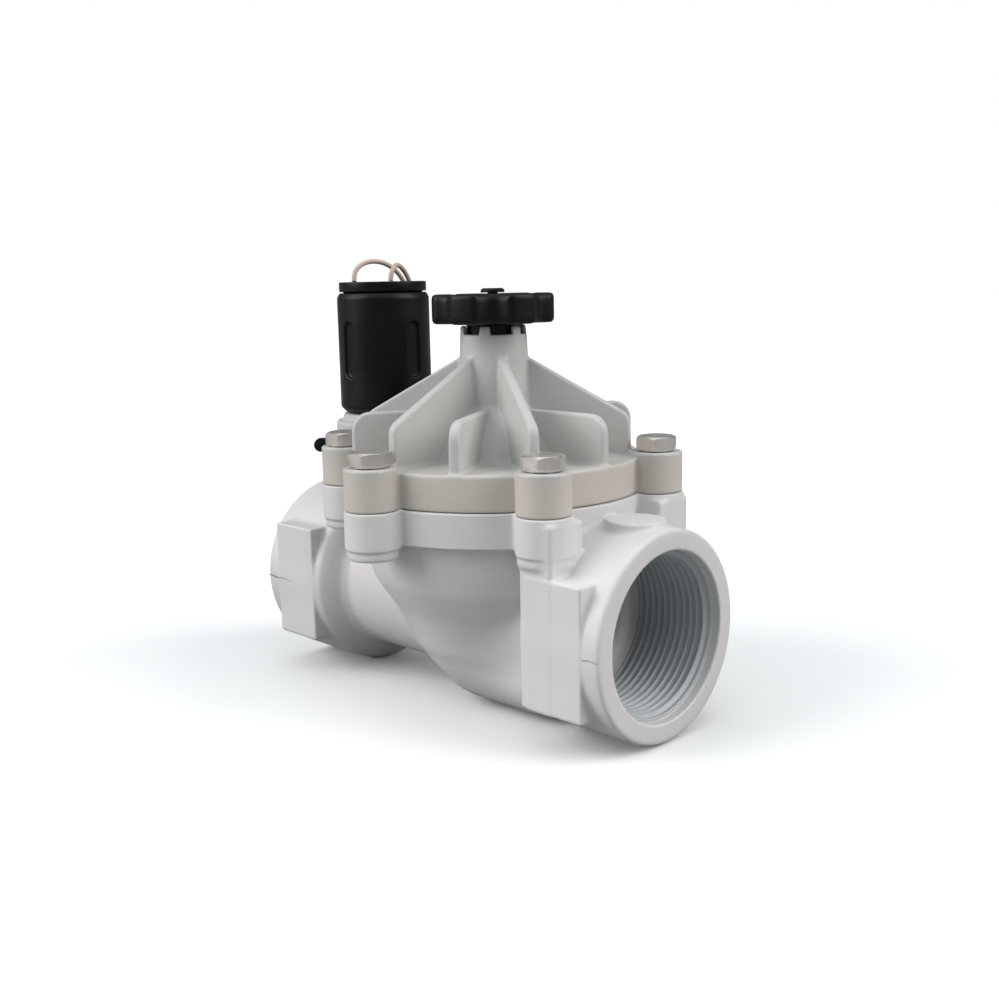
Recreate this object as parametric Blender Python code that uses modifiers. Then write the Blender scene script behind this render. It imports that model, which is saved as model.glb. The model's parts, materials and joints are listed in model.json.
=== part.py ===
"""Solenoid-operated diaphragm zone valve, 1 1/2 inch, with a flow-control handle.

Run with: blender --background --python part.py
Frame: +X is the outlet, +Z is up, and the origin lies under the middle of the
flow axis, on the surface that the valve stands on. Lengths below are in millimetres.
"""

import math

import bmesh
import bpy
from mathutils import Matrix, Vector

MM = 0.001
GAP = 0.3  # clearance between pieces that touch

# Flow axis, ports and wrench blocks (heights are measured from the flow axis)
AXIS_HEIGHT = 31.2
PORT_R = 30.6
PORT_END_X = 74.4
COUNTERBORE_R = 24.5
COUNTERBORE_DEPTH = 3.2
THREAD_MINOR_R = 22.4
THREAD_END_X = 46.0
BLOCK_X = (48.6, 68.3)
BLOCK_Z = (-18.8, 19.1)
NECK_R = 23.5
PASSAGE_R = 17.0
PAD_X = 62.5
PAD_R = 8.6
PAD_TOP_Z = 32.2
FOOT_HALF_WIDTH = 6.0
FOOT_X = (50.0, 70.0)

# Flanges and bolt circle, about the bonnet axis
BONNET_X = 7.7
BOLT_CIRCLE_R = 49.6
BOLT_COUNT = 6
BOLT_START_DEG = 30.0
FLANGE_R = 45.0
BODY_FLANGE_R = 45.7
BODY_FLANGE_Z = (25.35, 35.45)
BONNET_FLANGE_Z = (35.75, 46.0)
BONNET_BOSS_R = 7.7
BODY_BOSS_R = 8.0
BONNET_BOSS_TOP_Z = 47.6
BODY_BOSS_BOTTOM_Z = 21.4
COLUMN_X = (46.2, 58.0)

# Bolts and inserts (1/4 inch hexagon-head bolts, 7/16 inch across flats)
BOLT_AF = 11.1
BOLT_HEAD_H = 4.2
BOLT_SHANK_R = 3.1
BOLT_LENGTH = 21.0
INSERT_R = 4.7
INSERT_Z = (24.5, 35.1)

# Chamber, seat and diaphragm stack
CHAMBER_R = 36.0
SEAT_Z = 20.0
SEAT_R = 16.0
SEAT_TUBE_R = 19.5
DUCT_R = 18.2
DUCT_BORE_R = 15.5
LEDGE_Z = 33.0
LEDGE_R = 43.7
DIAPHRAGM_T = 2.0
PLATE_R = 19.5
PLATE_BOSS_R = 8.0
PLATE_Z = (25.6, 28.6, 30.0)

# Tower, handle and flow-control stem
TOWER_TOP_Z = 85.2
TOWER_R = 10.4
TOWER_BORE_R = 7.0
HUB_BORE_R = 8.3
RIB_T = 2.7
TALL_RIB_R = 41.8
LOW_RIB_R = 44.2
LOW_RIB_TOP_Z = 60.5
HANDLE_R = 18.5
HANDLE_Z = (85.7, 94.6)
HANDLE_LOBES = 6
FLUTE_R = 4.4
FLUTE_CENTRE_R = HANDLE_R + 1.2
FIRST_FLUTE_DEG = 15.0
STOP_Z = (44.5, 47.0, 66.0)
SPINDLE_R = 4.0

# Solenoid, over the inlet
SOLENOID_X = -44.0
SOLENOID_R = 15.2
SOLENOID_Z = (56.2, 95.4)
LOBE_R = 17.0
LOBE_Z = (37.0, 53.5, 55.9)
NECK_SEAT_R = 14.6
STUB_R = 7.7
CAP_R = 14.4
CAP_TOP_Z = 98.9
BLEED_DEG = 225.0
BLEED_Z = 44.8
BLEED_HEAD_R = 3.6

# Leads
LEAD_R = 0.8
COIL_R = 8.8
COIL_CENTRE = (-28.0, 46.0)
COIL_Z = (0.4, 11.2)


# ---------------------------------------------------------------- helpers

def clear_scene():
    for found in list(bpy.data.objects):
        bpy.data.objects.remove(found, do_unlink=True)


def new_collection(name):
    made = bpy.data.collections.new(name)
    bpy.context.scene.collection.children.link(made)
    return made


def new_material(name, color, roughness, metallic=0.0):
    made = bpy.data.materials.new(name)
    made.use_nodes = True
    shader = made.node_tree.nodes["Principled BSDF"]
    shader.inputs["Base Color"].default_value = (*color, 1.0)
    shader.inputs["Roughness"].default_value = roughness
    shader.inputs["Metallic"].default_value = metallic
    return made


def new_empty(name, location, parent=None):
    made = bpy.data.objects.new(name, None)
    PARTS.objects.link(made)
    made.parent = parent
    made.location = Vector(location) * MM
    return made


def new_object(name, mesh, parent, material=None):
    """A part if it has a material, and a cutter or tool if it has none."""
    made = bpy.data.objects.new(name, mesh)
    made.parent = parent
    if material is None:
        CUTTERS.objects.link(made)
        made.hide_render = True
        made.display_type = "WIRE"
    else:
        PARTS.objects.link(made)
        mesh.materials.append(material)
    return made


def finish_mesh(name, work):
    mesh = bpy.data.meshes.new(name)
    bmesh.ops.recalc_face_normals(work, faces=work.faces)
    work.to_mesh(mesh)
    work.free()
    mesh.shade_smooth()
    mesh.set_sharp_from_angle(angle=math.radians(35))
    return mesh


def add_cylinder(work, radius, z_low, z_high, centre=(0.0, 0.0), segments=32, top_radius=None):
    top = radius if top_radius is None else top_radius
    middle = Vector((centre[0], centre[1], (z_low + z_high) / 2)) * MM
    bmesh.ops.create_cone(
        work,
        cap_ends=True,
        segments=segments,
        radius1=radius * MM,
        radius2=top * MM,
        depth=(z_high - z_low) * MM,
        matrix=Matrix.Translation(middle),
    )


def add_box(work, low, high, turn_deg=0.0):
    """A box between two corners, then turned about the local Z axis."""
    size = [(b - a) * MM for a, b in zip(low, high)]
    middle = Vector([(a + b) / 2 * MM for a, b in zip(low, high)])
    turn = Matrix.Rotation(math.radians(turn_deg), 4, "Z")
    bmesh.ops.create_cube(
        work,
        size=1.0,
        matrix=turn @ Matrix.Translation(middle) @ Matrix.Diagonal((*size, 1.0)),
    )


def cylinder(name, radius, z_low, z_high, parent, material=None, segments=24):
    work = bmesh.new()
    add_cylinder(work, radius, z_low, z_high, segments=segments)
    return new_object(name, finish_mesh(name, work), parent, material)


def turned(name, outline, parent, material=None, steps=30, closed=True):
    """A profile of (radius, height) points, turned about the local Z axis.

    The points run down the outer side. A closed profile is a ring with a bore."""
    mesh = bpy.data.meshes.new(name)
    points = [(r * MM, 0.0, z * MM) for r, z in outline]
    count = len(points)
    last = count if closed else count - 1
    mesh.from_pydata(points, [(i, (i + 1) % count) for i in range(last)], [])
    made = new_object(name, mesh, parent, material)
    screw = made.modifiers.new("Turn", "SCREW")
    screw.steps = steps
    screw.render_steps = steps
    screw.use_merge_vertices = True
    screw.merge_threshold = 0.00001
    screw.use_smooth_shade = True
    return made


def prism(name, outline, thickness, parent, material=None):
    """A flat outline in the local XZ plane, with its thickness across Y."""
    work = bmesh.new()
    corners = [work.verts.new((x * MM, -thickness / 2 * MM, z * MM)) for x, z in outline]
    face = work.faces.new(corners)
    sides = bmesh.ops.extrude_face_region(work, geom=[face])
    moved = [v for v in sides["geom"] if isinstance(v, bmesh.types.BMVert)]
    bmesh.ops.translate(work, verts=moved, vec=(0.0, thickness * MM, 0.0))
    return new_object(name, finish_mesh(name, work), parent, material)


def boolean(target, tool, operation):
    step = target.modifiers.new(tool.name, "BOOLEAN")
    step.operation = operation
    step.solver = "EXACT"
    step.object = tool


def fuse(target, *tools):
    for tool in tools:
        boolean(target, tool, "UNION")


def cut(target, *tools):
    for tool in tools:
        boolean(target, tool, "DIFFERENCE")


def arc(centre, radius, start_deg, end_deg, count):
    """Points on an arc, from one angle to another."""
    span = end_deg - start_deg
    angles = [math.radians(start_deg + span * i / (count - 1)) for i in range(count)]
    return [(centre[0] + radius * math.cos(a), centre[1] + radius * math.sin(a)) for a in angles]


def bolt_angles():
    return [BOLT_START_DEG + 360.0 / BOLT_COUNT * i for i in range(BOLT_COUNT)]


def around_bolts(name, radius, z_low, z_high, segments=16):
    """One tool with a cylinder at each bolt."""
    work = bmesh.new()
    for angle in bolt_angles():
        a = math.radians(angle)
        centre = (BOLT_CIRCLE_R * math.cos(a), BOLT_CIRCLE_R * math.sin(a))
        add_cylinder(work, radius, z_low, z_high, centre, segments)
    return new_object(name, finish_mesh(name, work), BONNET_AXIS)


# ---------------------------------------------------------------- body

def along_flow(made):
    """Turns a piece made about Z so that its Z axis lies along +X."""
    made.rotation_euler = (0.0, math.radians(90), 0.0)
    return made


def body_shell():
    edge = 0.8
    outline = [(0.0, PORT_END_X), (PORT_R - edge, PORT_END_X), (PORT_R, PORT_END_X - edge)]
    outline += [(PORT_R, 18.0), (NECK_R, -13.0), (NECK_R, -31.5)]
    outline += [(PORT_R - 2.2, -36.0), (PORT_R - 0.4, -38.5), (PORT_R, -40.5)]
    outline += [(PORT_R, edge - PORT_END_X), (PORT_R - edge, -PORT_END_X), (0.0, -PORT_END_X)]
    shell = turned("valve_body", outline, FLOW_AXIS, BODY_PLASTIC, steps=40, closed=False)
    return along_flow(shell)


def body_bowl():
    outline = [(0.0, 30.0), (42.0, 30.0), (42.0, 25.0), (40.6, 16.0), (38.8, 10.0), (35.6, 5.0)]
    outline += [(32.2, 0.0), (29.2, -6.0), (26.6, -12.0), (24.0, -18.0), (20.0, -22.5), (0.0, -24.0)]
    return turned("bowl_tool", outline, BONNET_AXIS, closed=False)


def body_blocks():
    """Wrench blocks, the columns under the two outlet bolts, and the feet."""
    work = bmesh.new()
    for side in (-1, 1):
        low_x, high_x = sorted((side * BLOCK_X[0], side * BLOCK_X[1]))
        add_box(work, (low_x, -PORT_R, BLOCK_Z[0]), (high_x, PORT_R, BLOCK_Z[1]))
    blocks = new_object("block_tool", finish_mesh("block_tool", work), FLOW_AXIS)
    work = bmesh.new()
    for side in (-1, 1):
        low_x, high_x = sorted((side * FOOT_X[0], side * FOOT_X[1]))
        foot_low = (low_x, -FOOT_HALF_WIDTH, -AXIS_HEIGHT)
        add_box(work, foot_low, (high_x, FOOT_HALF_WIDTH, -26.0))
        add_cylinder(work, PAD_R, 26.0, PAD_TOP_Z, (side * PAD_X, 0.0))
    feet = new_object("foot_tool", finish_mesh("foot_tool", work), FLOW_AXIS)
    work = bmesh.new()
    for side in (-1, 1):
        low_y, high_y = sorted((side * 18.0, side * (PORT_R - 0.05)))
        add_box(work, (COLUMN_X[0], low_y, -12.0), (COLUMN_X[1], high_y, 30.0))
    columns = new_object("column_tool", finish_mesh("column_tool", work), FLOW_AXIS)
    return blocks, feet, columns


def body_cavities(shell):
    """The inlet chamber round the seat, and the duct from the seat to the outlet."""
    inlet = cylinder("inlet_cut", PASSAGE_R, -THREAD_END_X - 1.0, -5.0, FLOW_AXIS)
    along_flow(inlet)
    outline = [(0.0, 40.0), (CHAMBER_R, 40.0), (CHAMBER_R, 20.0), (34.4, 10.0), (30.5, 3.0)]
    outline += [(27.0, -3.0), (24.0, -9.0), (20.0, -14.0), (0.0, -14.0)]
    chamber = turned("chamber_cut", outline, BONNET_AXIS, closed=False)
    cut(shell, inlet, chamber)
    riser = cylinder("riser_tool", SEAT_TUBE_R, -8.0, SEAT_Z, BONNET_AXIS)
    duct = along_flow(cylinder("duct_tool", DUCT_R, BONNET_X, 44.0, FLOW_AXIS))
    elbow = bmesh.new()
    bmesh.ops.create_uvsphere(elbow, u_segments=16, v_segments=8, radius=(SEAT_TUBE_R - 0.2) * MM)
    elbow_tool = new_object("elbow_tool", finish_mesh("elbow_tool", elbow), BONNET_AXIS)
    fuse(shell, riser, duct, elbow_tool)
    seat_bore = cylinder("seat_cut", SEAT_R, -2.0, SEAT_Z + 4.0, BONNET_AXIS)
    outlet = [(0.0, THREAD_END_X + 1.0), (20.0, THREAD_END_X + 1.0), (DUCT_BORE_R, 26.0)]
    outlet += [(DUCT_BORE_R, BONNET_X), (0.0, BONNET_X)]
    outlet_cut = along_flow(turned("outlet_cut", outlet, FLOW_AXIS, steps=32, closed=False))
    bend = bmesh.new()
    bmesh.ops.create_uvsphere(bend, u_segments=16, v_segments=8, radius=(SEAT_R - 0.1) * MM)
    bend_cut = new_object("bend_cut", finish_mesh("bend_cut", bend), BONNET_AXIS)
    cut(shell, seat_bore, outlet_cut, bend_cut)


def port_cut(name, side):
    """The threaded bore of a port with its counterbore."""
    mouth = PORT_END_X - COUNTERBORE_DEPTH
    outline = [(0.0, PORT_END_X + 2.0), (COUNTERBORE_R, PORT_END_X + 2.0), (COUNTERBORE_R, mouth)]
    outline += [(THREAD_MINOR_R, mouth - 0.8), (THREAD_MINOR_R, THREAD_END_X), (0.0, THREAD_END_X)]
    made = turned(name, outline, FLOW_AXIS, steps=40, closed=False)
    made.rotation_euler = (0.0, math.radians(90 * side), 0.0)
    return made


def make_body():
    shell = body_shell()
    flange = cylinder("flange_tool", BODY_FLANGE_R, *BODY_FLANGE_Z, BONNET_AXIS, segments=40)
    bosses = around_bolts("body_boss_tool", BODY_BOSS_R, BODY_BOSS_BOTTOM_Z, BODY_FLANGE_Z[1])
    fuse(shell, body_bowl(), flange, bosses, *body_blocks())
    body_cavities(shell)
    ledge = cylinder("ledge_cut", LEDGE_R, LEDGE_Z, LEDGE_Z + 5.0, BONNET_AXIS, segments=40)
    pockets = around_bolts("pocket_cut", INSERT_R + GAP, INSERT_Z[0] - GAP, LEDGE_Z + 5.0, 12)
    cut(shell, port_cut("inlet_port_cut", -1), port_cut("outlet_port_cut", 1), ledge, pockets)


# ---------------------------------------------------------------- bonnet

DOME_MIDLINE = [(9.3, 59.2), (12.8, 57.6), (16.4, 54.2), (19.2, 50.4), (21.0, 46.8), (22.5, 45.0)]


def bonnet_shell():
    """Flange, dome and tower with their bores, as one turned profile."""
    outline = [(10.0, TOWER_TOP_Z), (TOWER_R, 76.0), (TOWER_R + 0.2, 60.8), (13.5, 58.9)]
    outline += [(17.5, 55.5), (20.5, 52.0), (22.8, 48.5), (24.2, BONNET_FLANGE_Z[1])]
    outline += [(FLANGE_R, BONNET_FLANGE_Z[1]), (FLANGE_R, BONNET_FLANGE_Z[0])]
    outline += [(CHAMBER_R, BONNET_FLANGE_Z[0]), (34.4, 39.5), (24.0, 42.5), (20.8, 44.5)]
    outline += [(18.6, 48.5), (16.5, 52.0), (13.5, 55.2), (11.8, 57.0), (8.9, 57.0), (8.9, 48.0)]
    outline += [(TOWER_BORE_R, 48.0), (TOWER_BORE_R, 69.0), (4.7, 69.0), (4.7, 73.5)]
    outline += [(TOWER_BORE_R, 73.5), (TOWER_BORE_R, 77.3), (7.7, 77.3), (7.7, 78.8)]
    outline += [(TOWER_BORE_R, 78.8), (TOWER_BORE_R, 79.0), (HUB_BORE_R, 79.0), (HUB_BORE_R, TOWER_TOP_Z)]
    return turned("bonnet", outline, BONNET_AXIS, BONNET_PLASTIC, steps=30)


def tall_rib_outline():
    """Rib from the tower to a bolt, following the dome on its inner side."""
    corner = arc((TALL_RIB_R - 4.0, 55.6), 4.0, 0, 62, 5)
    return DOME_MIDLINE + [(TALL_RIB_R, 45.0)] + corner + [(TOWER_R - 0.8, 76.2)]


def low_rib_outline(reach):
    corner = arc((reach - 5.5, LOW_RIB_TOP_Z - 5.5), 5.5, 0, 90, 6)
    return DOME_MIDLINE + [(reach, 45.0)] + corner + [(9.3, LOW_RIB_TOP_Z)]


def bonnet_ribs(shell):
    for angle in bolt_angles():
        rib = prism(f"tall_rib_tool_{angle:.0f}", tall_rib_outline(), RIB_T, BONNET_AXIS)
        rib.rotation_euler = (0.0, 0.0, math.radians(angle))
        fuse(shell, rib)
    for angle in range(0, 360, 60):
        reach = LOW_RIB_R if angle != 180 else BONNET_X - SOLENOID_X - SOLENOID_R - 1.2
        rib = prism(f"low_rib_tool_{angle}", low_rib_outline(reach), RIB_T, BONNET_AXIS)
        rib.rotation_euler = (0.0, 0.0, math.radians(angle))
        fuse(shell, rib)


def solenoid_seat(shell):
    """The lobe over the inlet that carries the solenoid, with its pilot passages."""
    outline = [(0.0, LOBE_Z[2]), (NECK_SEAT_R, LOBE_Z[2]), (NECK_SEAT_R, LOBE_Z[1])]
    outline += [(LOBE_R, LOBE_Z[1]), (LOBE_R, LOBE_Z[0] + 4.0), (LOBE_R - 4.0, LOBE_Z[0]), (0.0, LOBE_Z[0])]
    lobe = turned("lobe_tool", outline, SOLENOID_AXIS, closed=False)
    bore = [(0.0, 58.0), (10.6, 58.0), (10.6, 53.6), (STUB_R + GAP, 53.6), (STUB_R + GAP, 46.8)]
    bore += [(5.5, 46.8), (5.5, 43.2), (0.0, 43.2)]
    bore_cut = turned("seat_bore_cut", bore, SOLENOID_AXIS, steps=32, closed=False)
    pilot_length = BONNET_X - SOLENOID_X - 18.0
    pilot = along_flow(cylinder("pilot_cut", 1.1, 0.0, pilot_length, PILOT_AXIS, segments=12))
    bleed = along_bleed(cylinder("bleed_cut", 2.8, 3.0, LOBE_R + 2.0, BLEED_AXIS, segments=20))
    fuse(shell, lobe)
    cut(shell, bore_cut, pilot, bleed)


def bonnet_notches():
    work = bmesh.new()
    for angle in bolt_angles():
        add_box(work, (7.6, -3.3, 82.6), (12.0, 3.3, TOWER_TOP_Z + 2.0), angle)
    return new_object("notch_cut", finish_mesh("notch_cut", work), BONNET_AXIS)


def key_slots():
    work = bmesh.new()
    for angle in (0.0, 180.0):
        add_box(work, (6.0, -1.3, 47.0), (8.1, 1.3, 69.2), angle)
    return new_object("key_slot_cut", finish_mesh("key_slot_cut", work), BONNET_AXIS)


def make_bonnet():
    shell = bonnet_shell()
    bosses = around_bolts("bonnet_boss_tool", BONNET_BOSS_R, BONNET_FLANGE_Z[0], BONNET_BOSS_TOP_Z)
    fuse(shell, bosses)
    bonnet_ribs(shell)
    solenoid_seat(shell)
    holes = around_bolts("bolt_hole_cut", BOLT_SHANK_R + GAP, 30.0, 50.0, 12)
    cut(shell, holes, bonnet_notches(), key_slots())


# ---------------------------------------------------------------- fasteners

def make_bolts():
    """Hexagon-head bolts and the brass inserts that they screw into."""
    head_low = BONNET_BOSS_TOP_Z + GAP
    work = bmesh.new()
    add_cylinder(work, BOLT_AF / math.sqrt(3), head_low, head_low + BOLT_HEAD_H, segments=6)
    head_mesh = finish_mesh("bolt", work)
    head_mesh.materials.append(STEEL)
    shank = cylinder("shank_tool", BOLT_SHANK_R, head_low - BOLT_LENGTH, head_low + 1.0, None, segments=16)
    for number, angle in enumerate(bolt_angles(), start=1):
        a = math.radians(angle)
        seat = (BOLT_CIRCLE_R * math.cos(a), BOLT_CIRCLE_R * math.sin(a), 0.0)
        place = new_empty(f"bolt_axis_{number}", seat, BONNET_AXIS)
        place.rotation_euler = (0.0, 0.0, a)
        bolt = bpy.data.objects.new(f"bolt_{number}", head_mesh)
        PARTS.objects.link(bolt)
        bolt.parent = place
        tool = new_object(f"shank_tool_{number}", shank.data, place)
        fuse(bolt, tool)
        bore = BOLT_SHANK_R + GAP
        sleeve = [(INSERT_R, INSERT_Z[1]), (INSERT_R, INSERT_Z[0]), (bore, INSERT_Z[0]), (bore, INSERT_Z[1])]
        turned(f"threaded_insert_{number}", sleeve, place, BRASS, steps=20)
    bpy.data.objects.remove(shank)


# ---------------------------------------------------------------- diaphragm

def web_height(radius):
    """Height of the web's mid-surface, from the centre disc up to the clamped rim."""
    low, high = 24.3, 34.3
    inner, outer = 21.5, 35.2
    share = min(1.0, max(0.0, (radius - inner) / (outer - inner)))
    return low + (high - low) * (1 - math.cos(math.pi * share)) / 2


def make_diaphragm():
    half = DIAPHRAGM_T / 2
    stations = [21.5 + 13.7 * i / 6 for i in range(7)]
    upper = [(r, web_height(r) + half) for r in stations]
    lower = [(r, web_height(r) - half) for r in stations]
    rim_r = LEDGE_R - GAP
    outline = list(reversed(upper)) + [(3.6, 24.3 + half), (3.6, 24.3 - half)] + lower
    outline += [(rim_r, 34.3 - half), (rim_r, 34.3 + half)]
    turned("diaphragm", outline[::-1], CARRIER_AXIS, RUBBER)


def make_carrier():
    """Everything that the diaphragm lifts: plate, seat washer, guide and screw."""
    low, top, boss = PLATE_Z
    plate = [(0.0, boss), (PLATE_BOSS_R, boss), (PLATE_BOSS_R, top), (PLATE_R, top), (PLATE_R, low)]
    plate += [(3.3, low), (3.3, 28.9), (0.0, 28.9)]
    turned("diaphragm_plate", plate, CARRIER_AXIS, WHITE_PLASTIC, steps=32, closed=False)
    washer = [(19.4, 23.0), (19.4, SEAT_Z + GAP), (12.0, SEAT_Z + GAP), (12.0, 23.0)]
    turned("seat_washer", washer, CARRIER_AXIS, RUBBER, steps=32)
    hub = [(11.7, 23.0), (11.7, SEAT_Z), (15.2, SEAT_Z), (15.2, 17.8), (3.3, 17.8), (3.3, 23.0)]
    guide = turned("diaphragm_guide", hub, CARRIER_AXIS, WHITE_PLASTIC, steps=32)
    work = bmesh.new()
    for angle in (45.0, 135.0, 225.0, 315.0):
        add_box(work, (6.0, -1.0, 8.0), (15.0, 1.0, 18.8), angle)
    fuse(guide, new_object("guide_fin_tool", finish_mesh("guide_fin_tool", work), CARRIER_AXIS))
    screw = [(0.0, 28.6), (3.0, 28.6), (3.0, 17.5), (5.2, 17.5), (5.2, 13.8), (0.0, 13.8)]
    turned("diaphragm_screw", screw, CARRIER_AXIS, STEEL, steps=20, closed=False)


# ---------------------------------------------------------------- springs and leads

def helix(radius, z_low, z_high, turns, per_turn=12):
    """Points along a helix, with its last half turn at each end closed flat."""
    count = int(turns * per_turn) + 1
    points = []
    for i in range(count):
        turn = i / per_turn
        share = min(1.0, max(0.0, (turn - 0.5) / (turns - 1.0)))
        angle = 2 * math.pi * turn
        height = z_low + (z_high - z_low) * share
        points.append((radius * math.cos(angle), radius * math.sin(angle), height))
    return points


def wire(name, points, radius, parent, material, resolution=2):
    """A round wire along a list of points, with filled ends."""
    curve = bpy.data.curves.new(name, "CURVE")
    curve.dimensions = "3D"
    curve.bevel_depth = radius * MM
    curve.bevel_resolution = resolution
    curve.use_fill_caps = True
    spline = curve.splines.new("POLY")
    spline.points.add(len(points) - 1)
    for point, place in zip(spline.points, points):
        point.co = (*(Vector(place) * MM), 1.0)
    curve.materials.append(material)
    made = bpy.data.objects.new(name, curve)
    PARTS.objects.link(made)
    made.parent = parent
    return made


def smooth_route(knots, spacing):
    """Points about a spacing apart on a smooth curve through the knots."""
    ends = [Vector(knots[0]) * 2 - Vector(knots[1]), Vector(knots[-1]) * 2 - Vector(knots[-2])]
    walk = [ends[0]] + [Vector(k) for k in knots] + [ends[1]]
    points = [walk[1]]
    for a, b, c, d in zip(walk, walk[1:], walk[2:], walk[3:]):
        pieces = max(1, round((c - b).length / spacing))
        for i in range(1, pieces + 1):
            t = i / pieces
            cubic = (3 * b - 3 * c + d - a) * t * t * t + (2 * a - 5 * b + 4 * c - d) * t * t
            points.append((cubic + (c - a) * t + 2 * b) / 2)
    return [tuple(p) for p in points]


# Where each lead runs: out of the cap, over its back edge, down behind the inlet,
# and along the standing surface to the coil. Heights are from that surface.
LEAD_ROUTES = {
    "lead_1": [
        (-52.0, -5.6, 130.4), (-52.4, -4.6, 133.6), (-52.2, -1.6, 136.0), (-51.4, 2.8, 136.9),
        (-50.8, 8.0, 135.8), (-50.6, 13.0, 132.4), (-50.8, 17.0, 126.0), (-51.2, 19.2, 116.0),
        (-51.8, 20.8, 102.0), (-52.4, 23.2, 86.0), (-53.0, 27.6, 68.0), (-53.6, 33.4, 51.0),
        (-54.0, 36.6, 34.0), (-53.8, 38.0, 18.0), (-52.2, 38.4, 8.0), (-48.4, 38.2, 2.6),
        (-43.0, 38.05, 1.0), (-36.4, 38.05, 1.3),
    ],
    "lead_2": [
        (-43.6, 3.2, 130.4), (-43.8, 4.0, 133.2), (-44.6, 6.4, 135.4), (-46.0, 10.0, 134.8),
        (-47.4, 13.8, 131.8), (-48.4, 17.0, 126.0), (-49.2, 18.8, 116.0), (-50.0, 20.0, 102.0),
        (-50.7, 21.8, 86.0), (-51.5, 25.8, 68.0), (-52.2, 31.7, 51.8), (-52.7, 34.8, 34.0),
        (-52.6, 36.3, 18.0), (-51.0, 36.6, 7.6), (-47.4, 36.4, 2.5), (-42.0, 36.35, 1.0),
        (-34.5, 36.35, 1.3),
    ],
}


def make_leads():
    for name, knots in LEAD_ROUTES.items():
        lowered = [(x, y, z - AXIS_HEIGHT) for x, y, z in knots]
        wire(name, smooth_route(lowered, 4.8), LEAD_R, FLOW_AXIS, LEAD_PLASTIC)
    outer, inner = COIL_R + 2 * LEAD_R + 0.15, COIL_R - 2 * LEAD_R - 0.15
    low, high = COIL_Z
    section = [(outer, high), (outer, low), (inner, low), (inner, high)]
    turned("lead_coil", section, COIL_AXIS, LEAD_PLASTIC, steps=32)


# ---------------------------------------------------------------- flow control

def handle_flutes():
    """One tool with a round flute between each two lobes of the handle."""
    work = bmesh.new()
    for i in range(HANDLE_LOBES):
        a = math.radians(FIRST_FLUTE_DEG + 360.0 * i / HANDLE_LOBES)
        centre = (FLUTE_CENTRE_R * math.cos(a), FLUTE_CENTRE_R * math.sin(a))
        add_cylinder(work, FLUTE_R, HANDLE_Z[0] - 2.0, HANDLE_Z[1] + 2.0, centre, 20)
    return new_object("flute_cut", finish_mesh("flute_cut", work), HANDLE_AXIS)


def make_handle():
    handle = cylinder("flow_control_handle", HANDLE_R, *HANDLE_Z, HANDLE_AXIS, BLACK_PLASTIC, segments=60)
    cut(handle, handle_flutes())
    hub = cylinder("hub_tool", HUB_BORE_R - 0.35, 79.3, HANDLE_Z[0] + 1.0, HANDLE_AXIS)
    work = bmesh.new()
    add_box(work, (-3.3, -3.3, 78.0), (3.3, 3.3, 90.3))
    socket = new_object("socket_cut", finish_mesh("socket_cut", work), HANDLE_AXIS)
    hole = cylinder("handle_hole_cut", 1.9, 88.0, 98.0, HANDLE_AXIS, segments=16)
    fuse(handle, hub)
    cut(handle, socket, hole)
    screw = [(0.0, 96.2), (3.2, 96.2), (3.6, 95.8), (3.6, 94.9), (1.6, 94.9), (1.6, 84.0), (0.0, 84.0)]
    turned("handle_screw", screw, HANDLE_AXIS, BLACK_STEEL, steps=24, closed=False)


def make_spindle():
    outline = [(0.0, 79.0), (4.3, 79.0), (4.3, 77.0), (6.6, 77.0), (6.6, 74.0), (4.4, 74.0)]
    outline += [(4.4, 72.6), (3.3, 72.6), (3.3, 70.4), (4.4, 70.4), (4.4, 68.5), (SPINDLE_R, 68.0)]
    outline += [(SPINDLE_R, 46.6), (SPINDLE_R - 0.6, 46.0), (0.0, 46.0)]
    spindle = turned("flow_control_spindle", outline, HANDLE_AXIS, BRASS, steps=24, closed=False)
    work = bmesh.new()
    add_box(work, (-3.0, -3.0, 78.0), (3.0, 3.0, 90.0))
    fuse(spindle, new_object("square_tool", finish_mesh("square_tool", work), HANDLE_AXIS))
    cut(spindle, cylinder("spindle_hole_cut", 1.9, 83.0, 92.0, HANDLE_AXIS, segments=16))
    ring("spindle_o_ring", 3.95, 0.5, 71.5, HANDLE_AXIS, RUBBER)
    clip = wire("spindle_clip", clip_points(6.2, 78.05), 0.45, BONNET_AXIS, STEEL)
    clip.data.bevel_resolution = 1


def clip_points(radius, height):
    """An open ring, with its gap at the back."""
    return [(x, y, height) for x, y in arc((0.0, 0.0), radius, 110, 430, 25)]


def ring(name, radius, thickness_r, height, parent, material):
    """A round rubber ring."""
    outline = [(radius + x, height + z) for x, z in arc((0.0, 0.0), thickness_r, 0, -300, 6)]
    return turned(name, outline, parent, material, steps=24)


def make_stop():
    low, flange, top = STOP_Z
    bore = SPINDLE_R + 0.45
    outline = [(TOWER_BORE_R - 0.4, top), (TOWER_BORE_R - 0.4, flange), (8.4, flange), (8.4, low)]
    outline += [(bore, low), (bore, top)]
    stop = turned("flow_control_stop", outline, STOP_AXIS, WHITE_PLASTIC, steps=32)
    work = bmesh.new()
    for angle in (0.0, 180.0):
        add_box(work, (5.5, -1.0, flange - 1.0), (7.8, 1.0, top), angle)
    fuse(stop, new_object("key_tool", finish_mesh("key_tool", work), STOP_AXIS))


# ---------------------------------------------------------------- solenoid

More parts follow.
